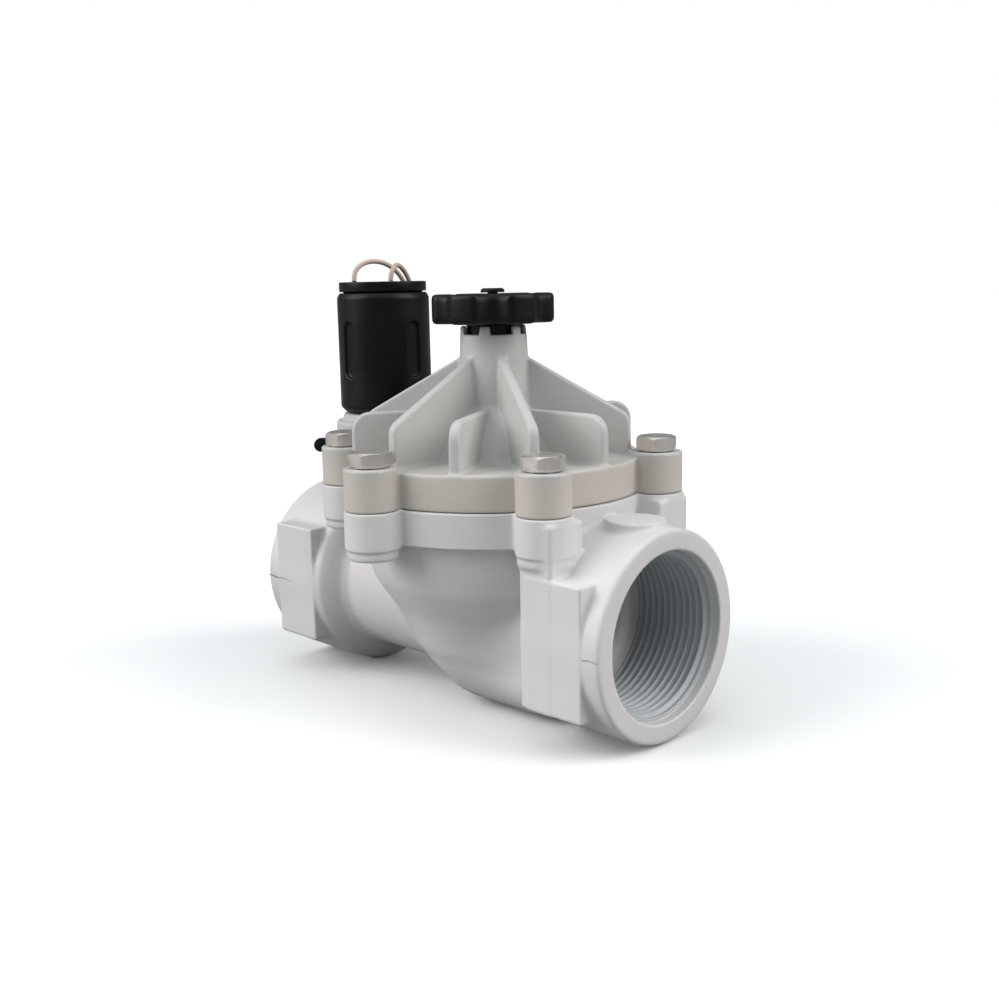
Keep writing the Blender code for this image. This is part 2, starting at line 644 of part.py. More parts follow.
def make_solenoid():
    low, top = SOLENOID_Z
    edge = SOLENOID_R - 0.8
    outline = [(edge, top), (SOLENOID_R - 0.1, top - 0.8), (SOLENOID_R, low + 1.7)]
    outline += [(SOLENOID_R - 1.7, low), (STUB_R, low), (STUB_R, 48.0), (5.4, 48.0)]
    outline += [(5.4, low + 3.0), (13.3, low + 3.0), (13.3, top)]
    housing = turned("solenoid_housing", outline, SOLENOID_AXIS, BLACK_PLASTIC)
    cut(housing, grip_recesses())
    cap = [(0.0, CAP_TOP_Z), (CAP_R - 0.6, CAP_TOP_Z), (CAP_R, CAP_TOP_Z - 0.6), (CAP_R, top + GAP)]
    cap += [(13.0, top + GAP), (13.0, 92.6), (0.0, 92.6)]
    turned("solenoid_cap", cap, SOLENOID_AXIS, BLACK_PLASTIC, closed=False)
    yoke = [(13.0, 92.0), (13.0, 59.6), (12.2, 59.6), (12.2, 92.0)]
    turned("solenoid_yoke", yoke, SOLENOID_AXIS, STEEL, steps=32)
    coil = [(11.8, 91.6), (11.8, 60.0), (5.4, 60.0), (5.4, 91.6)]
    turned("solenoid_coil", coil, SOLENOID_AXIS, COPPER, steps=32)
    tube = [(5.0, 91.0), (5.0, 50.4), (4.3, 50.4), (4.3, 91.0)]
    turned("solenoid_core_tube", tube, SOLENOID_AXIS, BRASS, steps=24)
    pole = [(0.0, 90.6), (4.0, 90.6), (4.0, 78.6), (0.0, 78.6)]
    turned("solenoid_pole", pole, SOLENOID_AXIS, STEEL, steps=24, closed=False)
    ring("solenoid_o_ring", 9.2, 1.0, 54.9, SOLENOID_AXIS, RUBBER)
    plunger = [(0.0, 70.0), (4.0, 70.0), (4.0, 49.0), (0.0, 49.0)]
    turned("solenoid_plunger", plunger, PLUNGER_AXIS, STEEL, steps=24, closed=False)
    tip = [(0.0, 48.7), (3.6, 48.7), (3.6, 46.9), (0.0, 46.9)]
    turned("plunger_seal", tip, PLUNGER_AXIS, RUBBER, steps=24, closed=False)
    turns = helix(2.9, 70.9, 77.7, 4.5, 9)
    wire("plunger_spring", turns, 0.45, PLUNGER_AXIS, STEEL, resolution=1)
    nozzle = [(0.0, 46.5), (1.6, 46.5), (2.4, 43.6), (0.0, 43.6)]
    turned("pilot_nozzle", nozzle, SOLENOID_AXIS, BRASS, steps=20, closed=False)


def grip_recesses():
    """Four upright slots with round ends, cut a little way into the housing."""
    half, low, high = 2.3, 70.3, 83.7
    outline = arc((0.0, high), half, 0, 180, 9) + arc((0.0, low), half, 180, 360, 9)
    depth = 1.1
    work = bmesh.new()
    for angle in (0, 90, 180, 270):
        turn = Matrix.Rotation(math.radians(angle), 4, "Z")
        near = (SOLENOID_R - depth) * MM
        corners = [work.verts.new(turn @ Vector((near, y * MM, z * MM))) for y, z in outline]
        sides = bmesh.ops.extrude_face_region(work, geom=[work.faces.new(corners)])
        moved = [v for v in sides["geom"] if isinstance(v, bmesh.types.BMVert)]
        bmesh.ops.translate(work, verts=moved, vec=turn @ Vector((4.0 * MM, 0.0, 0.0)))
    return new_object("grip_cut", finish_mesh("grip_cut", work), SOLENOID_AXIS)


def along_bleed(made):
    """Turns a piece made about Z so that its Z axis points out along the bleed screw."""
    made.rotation_euler = (0.0, math.radians(90), math.radians(BLEED_DEG))
    return made


def make_bleed_screw():
    head_in, head_out = LOBE_R + 0.4, LOBE_R + 4.0
    outline = [(0.0, head_out), (BLEED_HEAD_R - 0.6, head_out), (BLEED_HEAD_R, head_out - 0.6)]
    outline += [(BLEED_HEAD_R, head_in), (2.4, head_in), (2.4, 7.0), (0.0, 5.8)]
    screw = along_bleed(turned("bleed_screw", outline, BLEED_AXIS, BLACK_PLASTIC, steps=24, closed=False))
    work = bmesh.new()
    add_box(work, (-2.3, -1.2, 19.0), (2.3, 1.2, 25.2))
    tab = new_object("bleed_tab_tool", finish_mesh("bleed_tab_tool", work), BLEED_AXIS)
    fuse(screw, along_bleed(tab))


# ---------------------------------------------------------------- build

clear_scene()
PARTS = new_collection("zone_valve")
CUTTERS = new_collection("cutters")
CUTTERS.hide_render = True

BODY_PLASTIC = new_material("body_plastic", (0.62, 0.63, 0.63), 0.5)
BONNET_PLASTIC = new_material("bonnet_plastic", (0.62, 0.60, 0.55), 0.5)
BLACK_PLASTIC = new_material("black_plastic", (0.02, 0.02, 0.022), 0.4)
WHITE_PLASTIC = new_material("white_plastic", (0.8, 0.8, 0.78), 0.45)
STEEL = new_material("stainless_steel", (0.62, 0.58, 0.55), 0.28, 1.0)
BLACK_STEEL = new_material("black_steel", (0.03, 0.03, 0.03), 0.35, 0.8)
BRASS = new_material("brass", (0.72, 0.52, 0.25), 0.3, 1.0)
COPPER = new_material("copper_winding", (0.6, 0.28, 0.14), 0.4, 1.0)
RUBBER = new_material("black_rubber", (0.03, 0.03, 0.03), 0.75)
LEAD_PLASTIC = new_material("lead_insulation", (0.62, 0.5, 0.42), 0.5)

FLOW_AXIS = new_empty("flow_axis", (0.0, 0.0, AXIS_HEIGHT))
BONNET_AXIS = new_empty("bonnet_axis", (BONNET_X, 0.0, 0.0), FLOW_AXIS)
CARRIER_AXIS = new_empty("carrier_axis", (BONNET_X, 0.0, 0.0), FLOW_AXIS)
HANDLE_AXIS = new_empty("handle_axis", (BONNET_X, 0.0, 0.0), FLOW_AXIS)
STOP_AXIS = new_empty("stop_axis", (BONNET_X, 0.0, 0.0), FLOW_AXIS)
SOLENOID_AXIS = new_empty("solenoid_axis", (SOLENOID_X, 0.0, 0.0), FLOW_AXIS)
PLUNGER_AXIS = new_empty("plunger_axis", (SOLENOID_X, 0.0, 0.0), FLOW_AXIS)
PILOT_AXIS = new_empty("pilot_axis", (SOLENOID_X, 0.0, 44.6), FLOW_AXIS)
BLEED_AXIS = new_empty("bleed_axis", (SOLENOID_X, 0.0, BLEED_Z), FLOW_AXIS)
COIL_AXIS = new_empty("coil_axis", (*COIL_CENTRE, -AXIS_HEIGHT), FLOW_AXIS)

make_body()
make_bonnet()
make_bolts()
make_diaphragm()
make_carrier()
wire("main_spring", helix(10.2, 29.9, 55.8, 5.5), 0.8, CARRIER_AXIS, STEEL, resolution=1)
make_handle()
make_spindle()
make_stop()
make_solenoid()
make_bleed_screw()
make_leads()
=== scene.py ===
"""Looks for the solenoid zone valve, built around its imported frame.

Lengths in this script are in millimetres until a mesh is made. Heights are measured
from the flow axis, and +X points to the outlet, as in the frame.
"""

import json
import math

import bmesh
import bpy
import numpy as np
from mathutils import Matrix, Vector


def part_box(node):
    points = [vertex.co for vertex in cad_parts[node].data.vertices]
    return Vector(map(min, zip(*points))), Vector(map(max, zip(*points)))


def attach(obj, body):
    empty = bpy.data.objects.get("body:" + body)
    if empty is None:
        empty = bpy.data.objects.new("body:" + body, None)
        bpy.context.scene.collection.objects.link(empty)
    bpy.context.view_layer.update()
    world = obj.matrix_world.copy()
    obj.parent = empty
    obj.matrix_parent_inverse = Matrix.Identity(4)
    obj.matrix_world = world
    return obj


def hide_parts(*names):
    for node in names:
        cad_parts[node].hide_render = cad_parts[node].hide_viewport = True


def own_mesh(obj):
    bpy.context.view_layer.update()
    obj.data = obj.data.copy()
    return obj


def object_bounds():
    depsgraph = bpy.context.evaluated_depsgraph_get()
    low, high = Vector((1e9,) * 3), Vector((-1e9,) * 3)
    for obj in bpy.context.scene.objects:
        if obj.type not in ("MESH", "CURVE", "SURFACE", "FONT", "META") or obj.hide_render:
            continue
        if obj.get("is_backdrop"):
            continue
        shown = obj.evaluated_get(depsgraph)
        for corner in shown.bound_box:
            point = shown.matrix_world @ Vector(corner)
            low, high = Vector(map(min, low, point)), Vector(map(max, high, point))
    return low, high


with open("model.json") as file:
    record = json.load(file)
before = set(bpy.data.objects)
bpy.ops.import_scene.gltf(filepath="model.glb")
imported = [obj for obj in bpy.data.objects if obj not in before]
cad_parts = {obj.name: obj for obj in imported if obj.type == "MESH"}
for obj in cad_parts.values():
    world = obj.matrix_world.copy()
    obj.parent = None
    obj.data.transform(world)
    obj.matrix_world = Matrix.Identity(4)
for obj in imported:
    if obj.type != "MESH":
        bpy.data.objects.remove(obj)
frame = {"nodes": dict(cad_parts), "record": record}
cad_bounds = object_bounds()

MM = 0.001
ROOM_LIGHT = 0.22
COOL = (0.87, 0.965, 1.0)
WARM = (1.0, 0.957, 0.946)
FLOOR_SEEN = (0.97, 0.97, 0.97, 1.0)
FLOOR_BOUNCE = (0.3, 0.3, 0.3, 1.0)


def joint_place(name):
    found = next(j for j in frame["record"]["behaviour"]["joints"] if j["name"] == name)
    return np.array(found["pos_m"]) / MM - FLOW_ORIGIN


# ---------------------------------------------------------------- sizes from the frame

AXIS_HEIGHT = 31.2
FLOW_ORIGIN = np.array([0.0, 0.0, AXIS_HEIGHT])
PORT_END_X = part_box("valve_body")[1][0] / MM
BONNET_X = joint_place("flow_control_turn")[0]
SOLENOID_X = joint_place("bleed_turn")[0]
BLEED_Z = joint_place("bleed_turn")[2]

PORT_R = 30.6
NECK_R = 23.5
DUCT_R = 19.0
KEEL_Z = -30.3
COUNTERBORE_R = 24.5
COUNTERBORE_DEPTH = 3.2
THREAD_ROOT_R = 23.9
THREAD_CREST_R = 22.42
THREAD_PITCH = 25.4 / 11
THREAD_LENGTH = 25.2
PASSAGE_R = 17.0
BLOCK_X = (48.6, 68.3)
BLOCK_Z = (-18.8, 19.1)
PAD_X = 62.5
PAD_R = 8.6
PAD_TOP_Z = 32.2

BOLT_CIRCLE_R = 49.6
BOLT_ANGLES = [30.0 + 60.0 * i for i in range(6)]
BODY_FLANGE_R = 45.7
BODY_FLANGE_Z = (25.35, 35.45)
FLANGE_R = 45.0
FLANGE_Z = (35.75, 46.0)
BODY_BOSS_R = 8.0
BONNET_BOSS_R = 7.7
BOSS_TOP_Z = 47.6
BOLT_AF = 11.1

TOWER_TOP_Z = 85.2
TOWER_R = 10.4
TALL_RIB_R = 41.8
LOW_RIB_R = 44.2
LOW_RIB_TOP_Z = 60.5

HANDLE_R = 18.5
HANDLE_Z = (85.7, 94.6)
SOLENOID_R = 15.2
SOLENOID_Z = (56.2, 95.4)
CAP_R = 14.4
CAP_TOP_Z = 98.9
LOBE_R = 17.0
BLEED_DEG = 225.0

LEAD_R = 0.8
LEAD_LENGTH = 450.0
COIL_R = 8.8
COIL_CENTRE = (-28.0, 46.0)
COIL_PITCH = 1.7
COIL_TIE_TOP = 10.3


# ---------------------------------------------------------------- camera, light and floor

CAMERA_AZIMUTH = 45.03
CAMERA_ELEVATION = 10.31
CAMERA_ROLL = -1.14
CAMERA_DISTANCE = 378.7
CAMERA_SLIDE = (5.7, 29.95)
CAMERA_LENS = 42.54


def make_camera():
    """Looks at the flow axis from the outlet side, a little from above."""
    azimuth = math.radians(CAMERA_AZIMUTH)
    elevation = math.radians(CAMERA_ELEVATION)
    roll = math.radians(CAMERA_ROLL)
    back = Vector((
        math.sin(azimuth) * math.cos(elevation),
        -math.cos(azimuth) * math.cos(elevation),
        math.sin(elevation),
    ))
    level = Vector((0.0, 0.0, 1.0)).cross(back).normalized()
    upright = back.cross(level)
    right = level * math.cos(roll) + upright * math.sin(roll)
    up = upright * math.cos(roll) - level * math.sin(roll)
    place = back * CAMERA_DISTANCE + right * CAMERA_SLIDE[0] + up * CAMERA_SLIDE[1]
    place += Vector(FLOW_ORIGIN)
    data = bpy.data.cameras.new("camera")
    data.lens = CAMERA_LENS
    data.clip_start = 0.01
    made = bpy.data.objects.new("camera", data)
    bpy.context.scene.collection.objects.link(made)
    turn = Matrix((right, up, back)).transposed().to_4x4()
    made.matrix_world = Matrix.Translation(place * MM) @ turn
    bpy.context.scene.camera = made


def soft_light(name, azimuth, elevation, strength, spread, color):
    """A broad far light; azimuth 0 stands at -Y and 90 at +X, elevation is above the horizon."""
    data = bpy.data.lights.new(name, "SUN")
    data.energy = strength
    data.color = color
    data.angle = math.radians(spread)
    made = bpy.data.objects.new(name, data)
    bpy.context.scene.collection.objects.link(made)
    made.rotation_euler = (math.radians(90.0 - elevation), 0.0, math.radians(azimuth))


def make_world():
    """Dim, even light from all round, in front of a white backdrop."""
    world = bpy.data.worlds.new("studio")
    world.use_nodes = True
    tree = world.node_tree
    room = tree.nodes["Background"]
    room.inputs["Color"].default_value = (*COOL, 1.0)
    room.inputs["Strength"].default_value = ROOM_LIGHT
    backdrop = tree.nodes.new("ShaderNodeBackground")
    backdrop.inputs["Color"].default_value = (1.0, 1.0, 1.0, 1.0)
    seen = tree.nodes.new("ShaderNodeLightPath")
    choice = tree.nodes.new("ShaderNodeMixShader")
    tree.links.new(seen.outputs["Is Camera Ray"], choice.inputs["Fac"])
    tree.links.new(room.outputs["Background"], choice.inputs[1])
    tree.links.new(backdrop.outputs["Background"], choice.inputs[2])
    tree.links.new(choice.outputs["Shader"], tree.nodes["World Output"].inputs["Surface"])
    bpy.context.scene.world = world


def make_studio():
    make_world()
    bpy.context.scene.view_settings.view_transform = "Standard"
    soft_light("left", -32.0, 28.0, 2.25, 45.0, WARM)
    soft_light("right", 118.0, 33.0, 2.0, 45.0, WARM)
    soft_light("top", 20.0, 80.0, 1.25, 80.0, COOL)
    work = bmesh.new()
    bmesh.ops.create_circle(work, cap_ends=True, segments=96, radius=4.0)
    mesh = bpy.data.meshes.new("floor")
    work.to_mesh(mesh)
    work.free()
    floor = bpy.data.objects.new("floor", mesh)
    bpy.context.scene.collection.objects.link(floor)
    floor.location.z = -0.00005
    material = bpy.data.materials.new("floor")
    material.use_nodes = True
    shader = material.node_tree.nodes["Principled BSDF"]
    seen = material.node_tree.nodes.new("ShaderNodeLightPath")
    choice = material.node_tree.nodes.new("ShaderNodeMix")
    choice.data_type = "RGBA"
    choice.inputs["A"].default_value = FLOOR_BOUNCE
    choice.inputs["B"].default_value = FLOOR_SEEN
    material.node_tree.links.new(seen.outputs["Is Camera Ray"], choice.inputs["Factor"])
    material.node_tree.links.new(choice.outputs["Result"], shader.inputs["Base Color"])
    shader.inputs["Roughness"].default_value = 0.9
    shader.inputs["Specular IOR Level"].default_value = 0.1
    mesh.materials.append(material)
    floor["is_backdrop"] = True


# ---------------------------------------------------------------- mesh helpers

def add_piece(name, mesh, material, body, replaced=()):
    """Links a piece, gives it its material and ties it to its body."""
    made = bpy.data.objects.new(name, mesh)
    bpy.context.scene.collection.objects.link(made)
    mesh.materials.clear()
    mesh.materials.append(material)
    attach(made, body)
    if replaced:
        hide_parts(*replaced)
    return made


def mesh_from(name, points, faces, origin=FLOW_ORIGIN):
    mesh = bpy.data.meshes.new(name)
    placed = (np.asarray(points, dtype=float) + origin) * MM
    mesh.from_pydata(placed.tolist(), [], [list(f) for f in faces])
    mesh.update()
    return mesh


def shade(mesh, angle=35.0):
    mesh.shade_smooth()
    mesh.set_sharp_from_angle(angle=math.radians(angle))
    return mesh


def arc(centre, radius, start_deg, end_deg, count):
    angles = np.radians(np.linspace(start_deg, end_deg, count))
    return [(centre[0] + radius * math.cos(a), centre[1] + radius * math.sin(a)) for a in angles]


def rounded(outline, radius, count=4, closed=True):
    """The outline with each of its corners rounded."""
    points = [np.array(p, dtype=float) for p in outline]
    result = []
    total = len(points)
    for i, here in enumerate(points):
        if not closed and i in (0, total - 1):
            result.append(tuple(here))
            continue
        before = points[i - 1] - here
        after = points[(i + 1) % total] - here
        reach = min(radius, 0.45 * np.linalg.norm(before), 0.45 * np.linalg.norm(after))
        start = here + before / np.linalg.norm(before) * reach
        end = here + after / np.linalg.norm(after) * reach
        for t in np.linspace(0.0, 1.0, count):
            result.append(tuple((1 - t) ** 2 * start + 2 * t * (1 - t) * here + t * t * end))
    return result


def rings_mesh(name, rings, closed_loop=False):
    """Skins a list of rings that have equal numbers of points, and caps the ends."""
    count = len(rings[0])
    points = [p for ring in rings for p in ring]
    faces = []
    last = len(rings) if closed_loop else len(rings) - 1
    for i in range(last):
        a, b = i * count, (i + 1) % len(rings) * count
        for j in range(count):
            k = (j + 1) % count
            faces.append((a + j, a + k, b + k, b + j))
    if not closed_loop:
        faces.append(tuple(range(count))[::-1])
        faces.append(tuple(range((len(rings) - 1) * count, len(rings) * count)))
    return mesh_from(name, points, faces)


def lathe(name, outline, centre, steps=64, closed=False):
    """Turns a profile of (radius, height), listed upwards on its outer side."""
    rings = []
    for r, z in outline:
        angles = np.linspace(0.0, 2 * math.pi, steps, endpoint=False)
        rings.append([(centre[0] + r * math.cos(a), centre[1] + r * math.sin(a), z) for a in angles])
    return rings_mesh(name, rings, closed_loop=closed)


# ---------------------------------------------------------------- distance fields

def smooth_min(a, b, reach):
    blend = np.maximum(reach - np.abs(a - b), 0.0) / reach
    return np.minimum(a, b) - blend * blend * reach * 0.25


def smooth_max(a, b, reach):
    return -smooth_min(-a, -b, reach)


def box_field(x, y, z, low, high, edge):
    """Distance to a box with rounded edges."""
    middle = [(a + b) / 2 for a, b in zip(low, high)]
    half = [(b - a) / 2 - edge for a, b in zip(low, high)]
    gaps = [np.abs(p - m) - h for p, m, h in zip((x, y, z), middle, half)]
    outside = np.sqrt(sum(np.maximum(g, 0.0) ** 2 for g in gaps))
    inside = np.minimum(np.maximum(np.maximum(gaps[0], gaps[1]), gaps[2]), 0.0)
    return outside + inside - edge


def disc_field(r, z, radius, low, high, edge):
    """Distance to a round disc with rounded rims."""
    side = r - radius + edge
    flat = np.abs(z - (low + high) / 2) - (high - low) / 2 + edge
    outside = np.sqrt(np.maximum(side, 0.0) ** 2 + np.maximum(flat, 0.0) ** 2)
    return outside + np.minimum(np.maximum(side, flat), 0.0) - edge


class Profile:
    """Distance to a closed outline, read from a fine grid on which its corners are rounded."""

    STEP = 0.25
    MARGIN = 10.0

    def __init__(self, outline, rounding=0.5):
        points = np.array(outline, dtype=float)
        self.low = points.min(0) - self.MARGIN
        counts = np.ceil((points.max(0) + self.MARGIN - self.low) / self.STEP).astype(int) + 1
        u, v = np.meshgrid(
            self.low[0] + self.STEP * np.arange(counts[0]),
            self.low[1] + self.STEP * np.arange(counts[1]),
            indexing="ij",
        )
        nearest = np.full(u.shape, 1e9)
        inside = np.zeros(u.shape, dtype=bool)
        for (ax, ay), (bx, by) in zip(points, np.roll(points, -1, axis=0)):
            ex, ey = bx - ax, by - ay
            along = ((u - ax) * ex + (v - ay) * ey) / (ex * ex + ey * ey)
            along = np.clip(along, 0.0, 1.0)
            nearest = np.minimum(nearest, (u - ax - along * ex) ** 2 + (v - ay - along * ey) ** 2)
            if ay != by:
                crossing = (ay > v) != (by > v)
                inside ^= crossing & (u < ax + (v - ay) * ex / ey)
        field = np.sqrt(nearest) * np.where(inside, -1.0, 1.0)
        self.field = self.soften(field, rounding).astype(np.float32)

    def soften(self, field, rounding):
        reach = int(round(rounding * 2.5 / self.STEP))
        if reach < 1:
            return field
        offsets = np.arange(-reach, reach + 1) * self.STEP
        weights = np.exp(-0.5 * (offsets / rounding) ** 2)
        weights /= weights.sum()
        for axis in (0, 1):
            padded = np.pad(field, [(reach, reach) if a == axis else (0, 0) for a in (0, 1)], "edge")
            size = field.shape[axis]
            field = sum(
                w * np.take(padded, range(i, i + size), axis=axis) for i, w in enumerate(weights)
            )
        return field

    def at(self, u, v):
        a = np.clip((u - self.low[0]) / self.STEP, 0.0, self.field.shape[0] - 1.001)
        b = np.clip((v - self.low[1]) / self.STEP, 0.0, self.field.shape[1] - 1.001)
        i, j = a.astype(np.int32), b.astype(np.int32)
        a, b = a - i, b - j
        f = self.field
        low = f[i, j] * (1 - b) + f[i, j + 1] * b
        high = f[i + 1, j] * (1 - b) + f[i + 1, j + 1] * b
        return low * (1 - a) + high * a


def fold(x, y, count, start_deg):
    """Turns each point about Z into the sector of its nearest repeat."""
    pitch = 2 * math.pi / count
    angle = np.arctan2(y, x) - math.radians(start_deg)
    angle -= pitch * np.round(angle / pitch)
    r = np.hypot(x, y)
    return r * np.cos(angle), r * np.sin(angle)


def sample_field(field, low, high, step):
    axes = [np.arange(a, b + step, step) for a, b in zip(low, high)]
    values = np.empty([len(a) for a in axes], dtype=np.float32)
    slab = 24
    for start in range(0, len(axes[0]), slab):
        x, y, z = np.meshgrid(axes[0][start:start + slab], axes[1], axes[2], indexing="ij")
        values[start:start + slab] = field(x, y, z)
    return values


def net_surface(values):
    """Points and quads of the surface where the sampled field is zero, in grid steps."""
    cells = np.array(values.shape) - 1
    strides = np.array([cells[1] * cells[2], cells[2], 1])
    total = int(cells.prod())
    sums, counts = np.zeros((3, total)), np.zeros(total)
    quads = []
    units = np.eye(3, dtype=int)
    for axis in range(3):
        first = np.take(values, range(values.shape[axis] - 1), axis=axis)
        second = np.take(values, range(1, values.shape[axis]), axis=axis)
        places = np.argwhere((first < 0) != (second < 0))
        a = first[tuple(places.T)]
        b = second[tuple(places.T)]
        points = places + (a / (a - b))[:, None] * units[axis]
        side, other = units[(axis + 1) % 3], units[(axis + 2) % 3]
        around = [(places - s) @ strides for s in (side * 0, side, side + other, other)]
        for cell in around:
            counts += np.bincount(cell, minlength=total)
            for k in range(3):
                sums[k] += np.bincount(cell, weights=points[:, k], minlength=total)
        quad = np.stack(around, axis=1)
        quads.append(np.where((a < 0)[:, None], quad, quad[:, ::-1]))
    used = np.flatnonzero(counts)
    number = np.zeros(total, dtype=np.int64)
    number[used] = np.arange(len(used))
    return (sums[:, used] / counts[used]).T, number[np.concatenate(quads)]


def field_slope(field, points, reach=0.04):
    slope = np.empty_like(points)
    for axis in range(3):
        step = np.zeros(3)
        step[axis] = reach
        slope[:, axis] = field(*(points + step).T) - field(*(points - step).T)
    return slope / (2 * reach)


def settle(field, points, furthest):
    """Moves points onto the surface, none further than given."""
    for _ in range(3):
        slope = field_slope(field, points)
        size = np.maximum((slope ** 2).sum(1), 0.25)
        move = slope * (field(*points.T) / size)[:, None]
        length = np.linalg.norm(move, axis=1)
        move *= np.minimum(1.0, furthest / np.maximum(length, 1e-9))[:, None]
        points = points - move
    return points


def field_mesh(name, field, low, high, step, keep=1.0):
    """A closed mesh of the field's surface with normals read from the field."""
    points, quads = net_surface(sample_field(field, low, high, step))
    points = settle(field, points * step + np.array(low), step * 0.5)
    mesh = bpy.data.meshes.new(name)
    mesh.vertices.add(len(points))
    mesh.vertices.foreach_set("co", points.ravel())
    mesh.loops.add(quads.size)
    mesh.loops.foreach_set("vertex_index", quads.ravel())
    mesh.polygons.add(len(quads))
    mesh.polygons.foreach_set("loop_start", np.arange(len(quads)) * 4)
    mesh.update(calc_edges=True)
    if keep < 1.0:
        mesh = thinned(name, mesh, keep)
        points = np.empty(len(mesh.vertices) * 3)
        mesh.vertices.foreach_get("co", points)
        points = settle(field, points.reshape(-1, 3), step * 0.3)
    slope = field_slope(field, points)
    normals = slope / np.maximum(np.linalg.norm(slope, axis=1), 1e-9)[:, None]
    mesh.vertices.foreach_set("co", ((points + FLOW_ORIGIN) * MM).ravel())
    mesh.shade_smooth()
    mesh.update()
    mesh.normals_split_custom_set_from_vertices(normals.tolist())
    return mesh


def thinned(name, mesh, keep):
    """The mesh with fewer faces where it is flat."""
    holder = bpy.data.objects.new("thinning", mesh)
    bpy.context.scene.collection.objects.link(holder)
    step = holder.modifiers.new("thin", "DECIMATE")
    step.ratio = keep
    found = holder.evaluated_get(bpy.context.evaluated_depsgraph_get())
    result = bpy.data.meshes.new_from_object(found)
    result.name = name
    bpy.data.objects.remove(holder)
    bpy.data.meshes.remove(mesh)
    return result


# ---------------------------------------------------------------- materials

def new_material(name):
    made = bpy.data.materials.new(name)
    made.use_nodes = True
    tree = made.node_tree
    return made, tree, tree.nodes["Principled BSDF"]


def add_node(tree, kind, **settings):
    made = tree.nodes.new(kind)
    for key, value in settings.items():
        if key in made.inputs:
            made.inputs[key].default_value = value
        else:
            setattr(made, key, value)
    return made


def noise(tree, scale, detail=3.0, roughness=0.5, distortion=0.0):
    place = add_node(tree, "ShaderNodeTexCoord")
    made = add_node(
        tree, "ShaderNodeTexNoise", Scale=scale, Detail=detail, Roughness=roughness, Distortion=distortion
    )
    tree.links.new(place.outputs["Object"], made.inputs["Vector"])
    return made.outputs["Fac"]


def ramp(tree, source, stops):
    made = add_node(tree, "ShaderNodeValToRGB")
    elements = made.color_ramp.elements
    while len(elements) < len(stops):
        elements.new(0.5)
    for element, (position, color) in zip(elements, stops):
        element.position = position
        element.color = (*color, 1.0) if len(color) == 3 else color
    tree.links.new(source, made.inputs["Fac"])
    return made.outputs["Color"]


def mixed(tree, factor, first, second, blend="MIX"):
    made = add_node(tree, "ShaderNodeMix", data_type="RGBA", blend_type=blend)
    for key, value in (("Factor", factor), ("A", first), ("B", second)):
        socket = made.inputs[key]
        if isinstance(value, bpy.types.NodeSocket):
            tree.links.new(value, socket)
        elif isinstance(value, tuple):
            socket.default_value = (*value, 1.0)
        else:
            socket.default_value = value
    return made.outputs["Result"]


def to_range(tree, source, low, high, from_low=0.35, from_high=0.65):
    made = add_node(tree, "ShaderNodeMapRange")
    for key, value in (("From Min", from_low), ("From Max", from_high), ("To Min", low), ("To Max", high)):
        made.inputs[key].default_value = value
    tree.links.new(source, made.inputs["Value"])
    return made.outputs["Result"]


def bumped(tree, shader, height, strength, distance):
    made = add_node(tree, "ShaderNodeBump", Strength=strength, Distance=distance)
    tree.links.new(height, made.inputs["Height"])
    tree.links.new(made.outputs["Normal"], shader.inputs["Normal"])


def tinted_below(tree, color, height, tint):
    """The colour, tinted under a height in metres."""
    place = add_node(tree, "ShaderNodeTexCoord")
    parts = add_node(tree, "ShaderNodeSeparateXYZ")
    tree.links.new(place.outputs["Object"], parts.inputs["Vector"])
    share = to_range(tree, parts.outputs["Z"], 1.0, 0.0, height - 0.001, height + 0.001)
    return mixed(tree, share, color, tint, "MULTIPLY")


def moulded_plastic(name, base, shadow, roughness, fleck=0.02, shine=0.5, low_tint=None):
    """Moulded plastic: slow colour drift, fine flecks, and a faint orange-peel grain."""
    made, tree, shader = new_material(name)
    drift = ramp(tree, noise(tree, 28.0, 4.0), [(0.36, shadow), (0.64, base)])
    flecks = ramp(tree, noise(tree, 1500.0, 2.0), [(0.38, (1 - fleck,) * 3), (0.5, (1.0,) * 3)])
    color = mixed(tree, 1.0, drift, flecks, "MULTIPLY")
    if low_tint:
        color = tinted_below(tree, color, *low_tint)
    tree.links.new(color, shader.inputs["Base Color"])
    low, high = roughness
    tree.links.new(to_range(tree, noise(tree, 90.0, 3.0), low, high), shader.inputs["Roughness"])
    bumped(tree, shader, noise(tree, 700.0, 3.0), 0.3, 0.00003)
    shader.inputs["Specular IOR Level"].default_value = shine
    return made


def metal(name, base, shadow, roughness, scratch=600.0, stretch=(1.0, 1.0, 12.0)):
    """Bare metal with fine tool marks and a slight change of tone."""
    made, tree, shader = new_material(name)
    shader.inputs["Metallic"].default_value = 1.0
    color = ramp(tree, noise(tree, 160.0, 3.0), [(0.35, shadow), (0.65, base)])
    tree.links.new(color, shader.inputs["Base Color"])
    place = add_node(tree, "ShaderNodeTexCoord")
    squeeze = add_node(tree, "ShaderNodeMapping", Scale=stretch)
    tree.links.new(place.outputs["Object"], squeeze.inputs["Vector"])
    lines = add_node(tree, "ShaderNodeTexNoise", Scale=scratch, Detail=4.0)
    tree.links.new(squeeze.outputs["Vector"], lines.inputs["Vector"])
    low, high = roughness
    tree.links.new(to_range(tree, lines.outputs["Fac"], low, high), shader.inputs["Roughness"])
    bumped(tree, shader, lines.outputs["Fac"], 0.25, 0.00002)
    return made


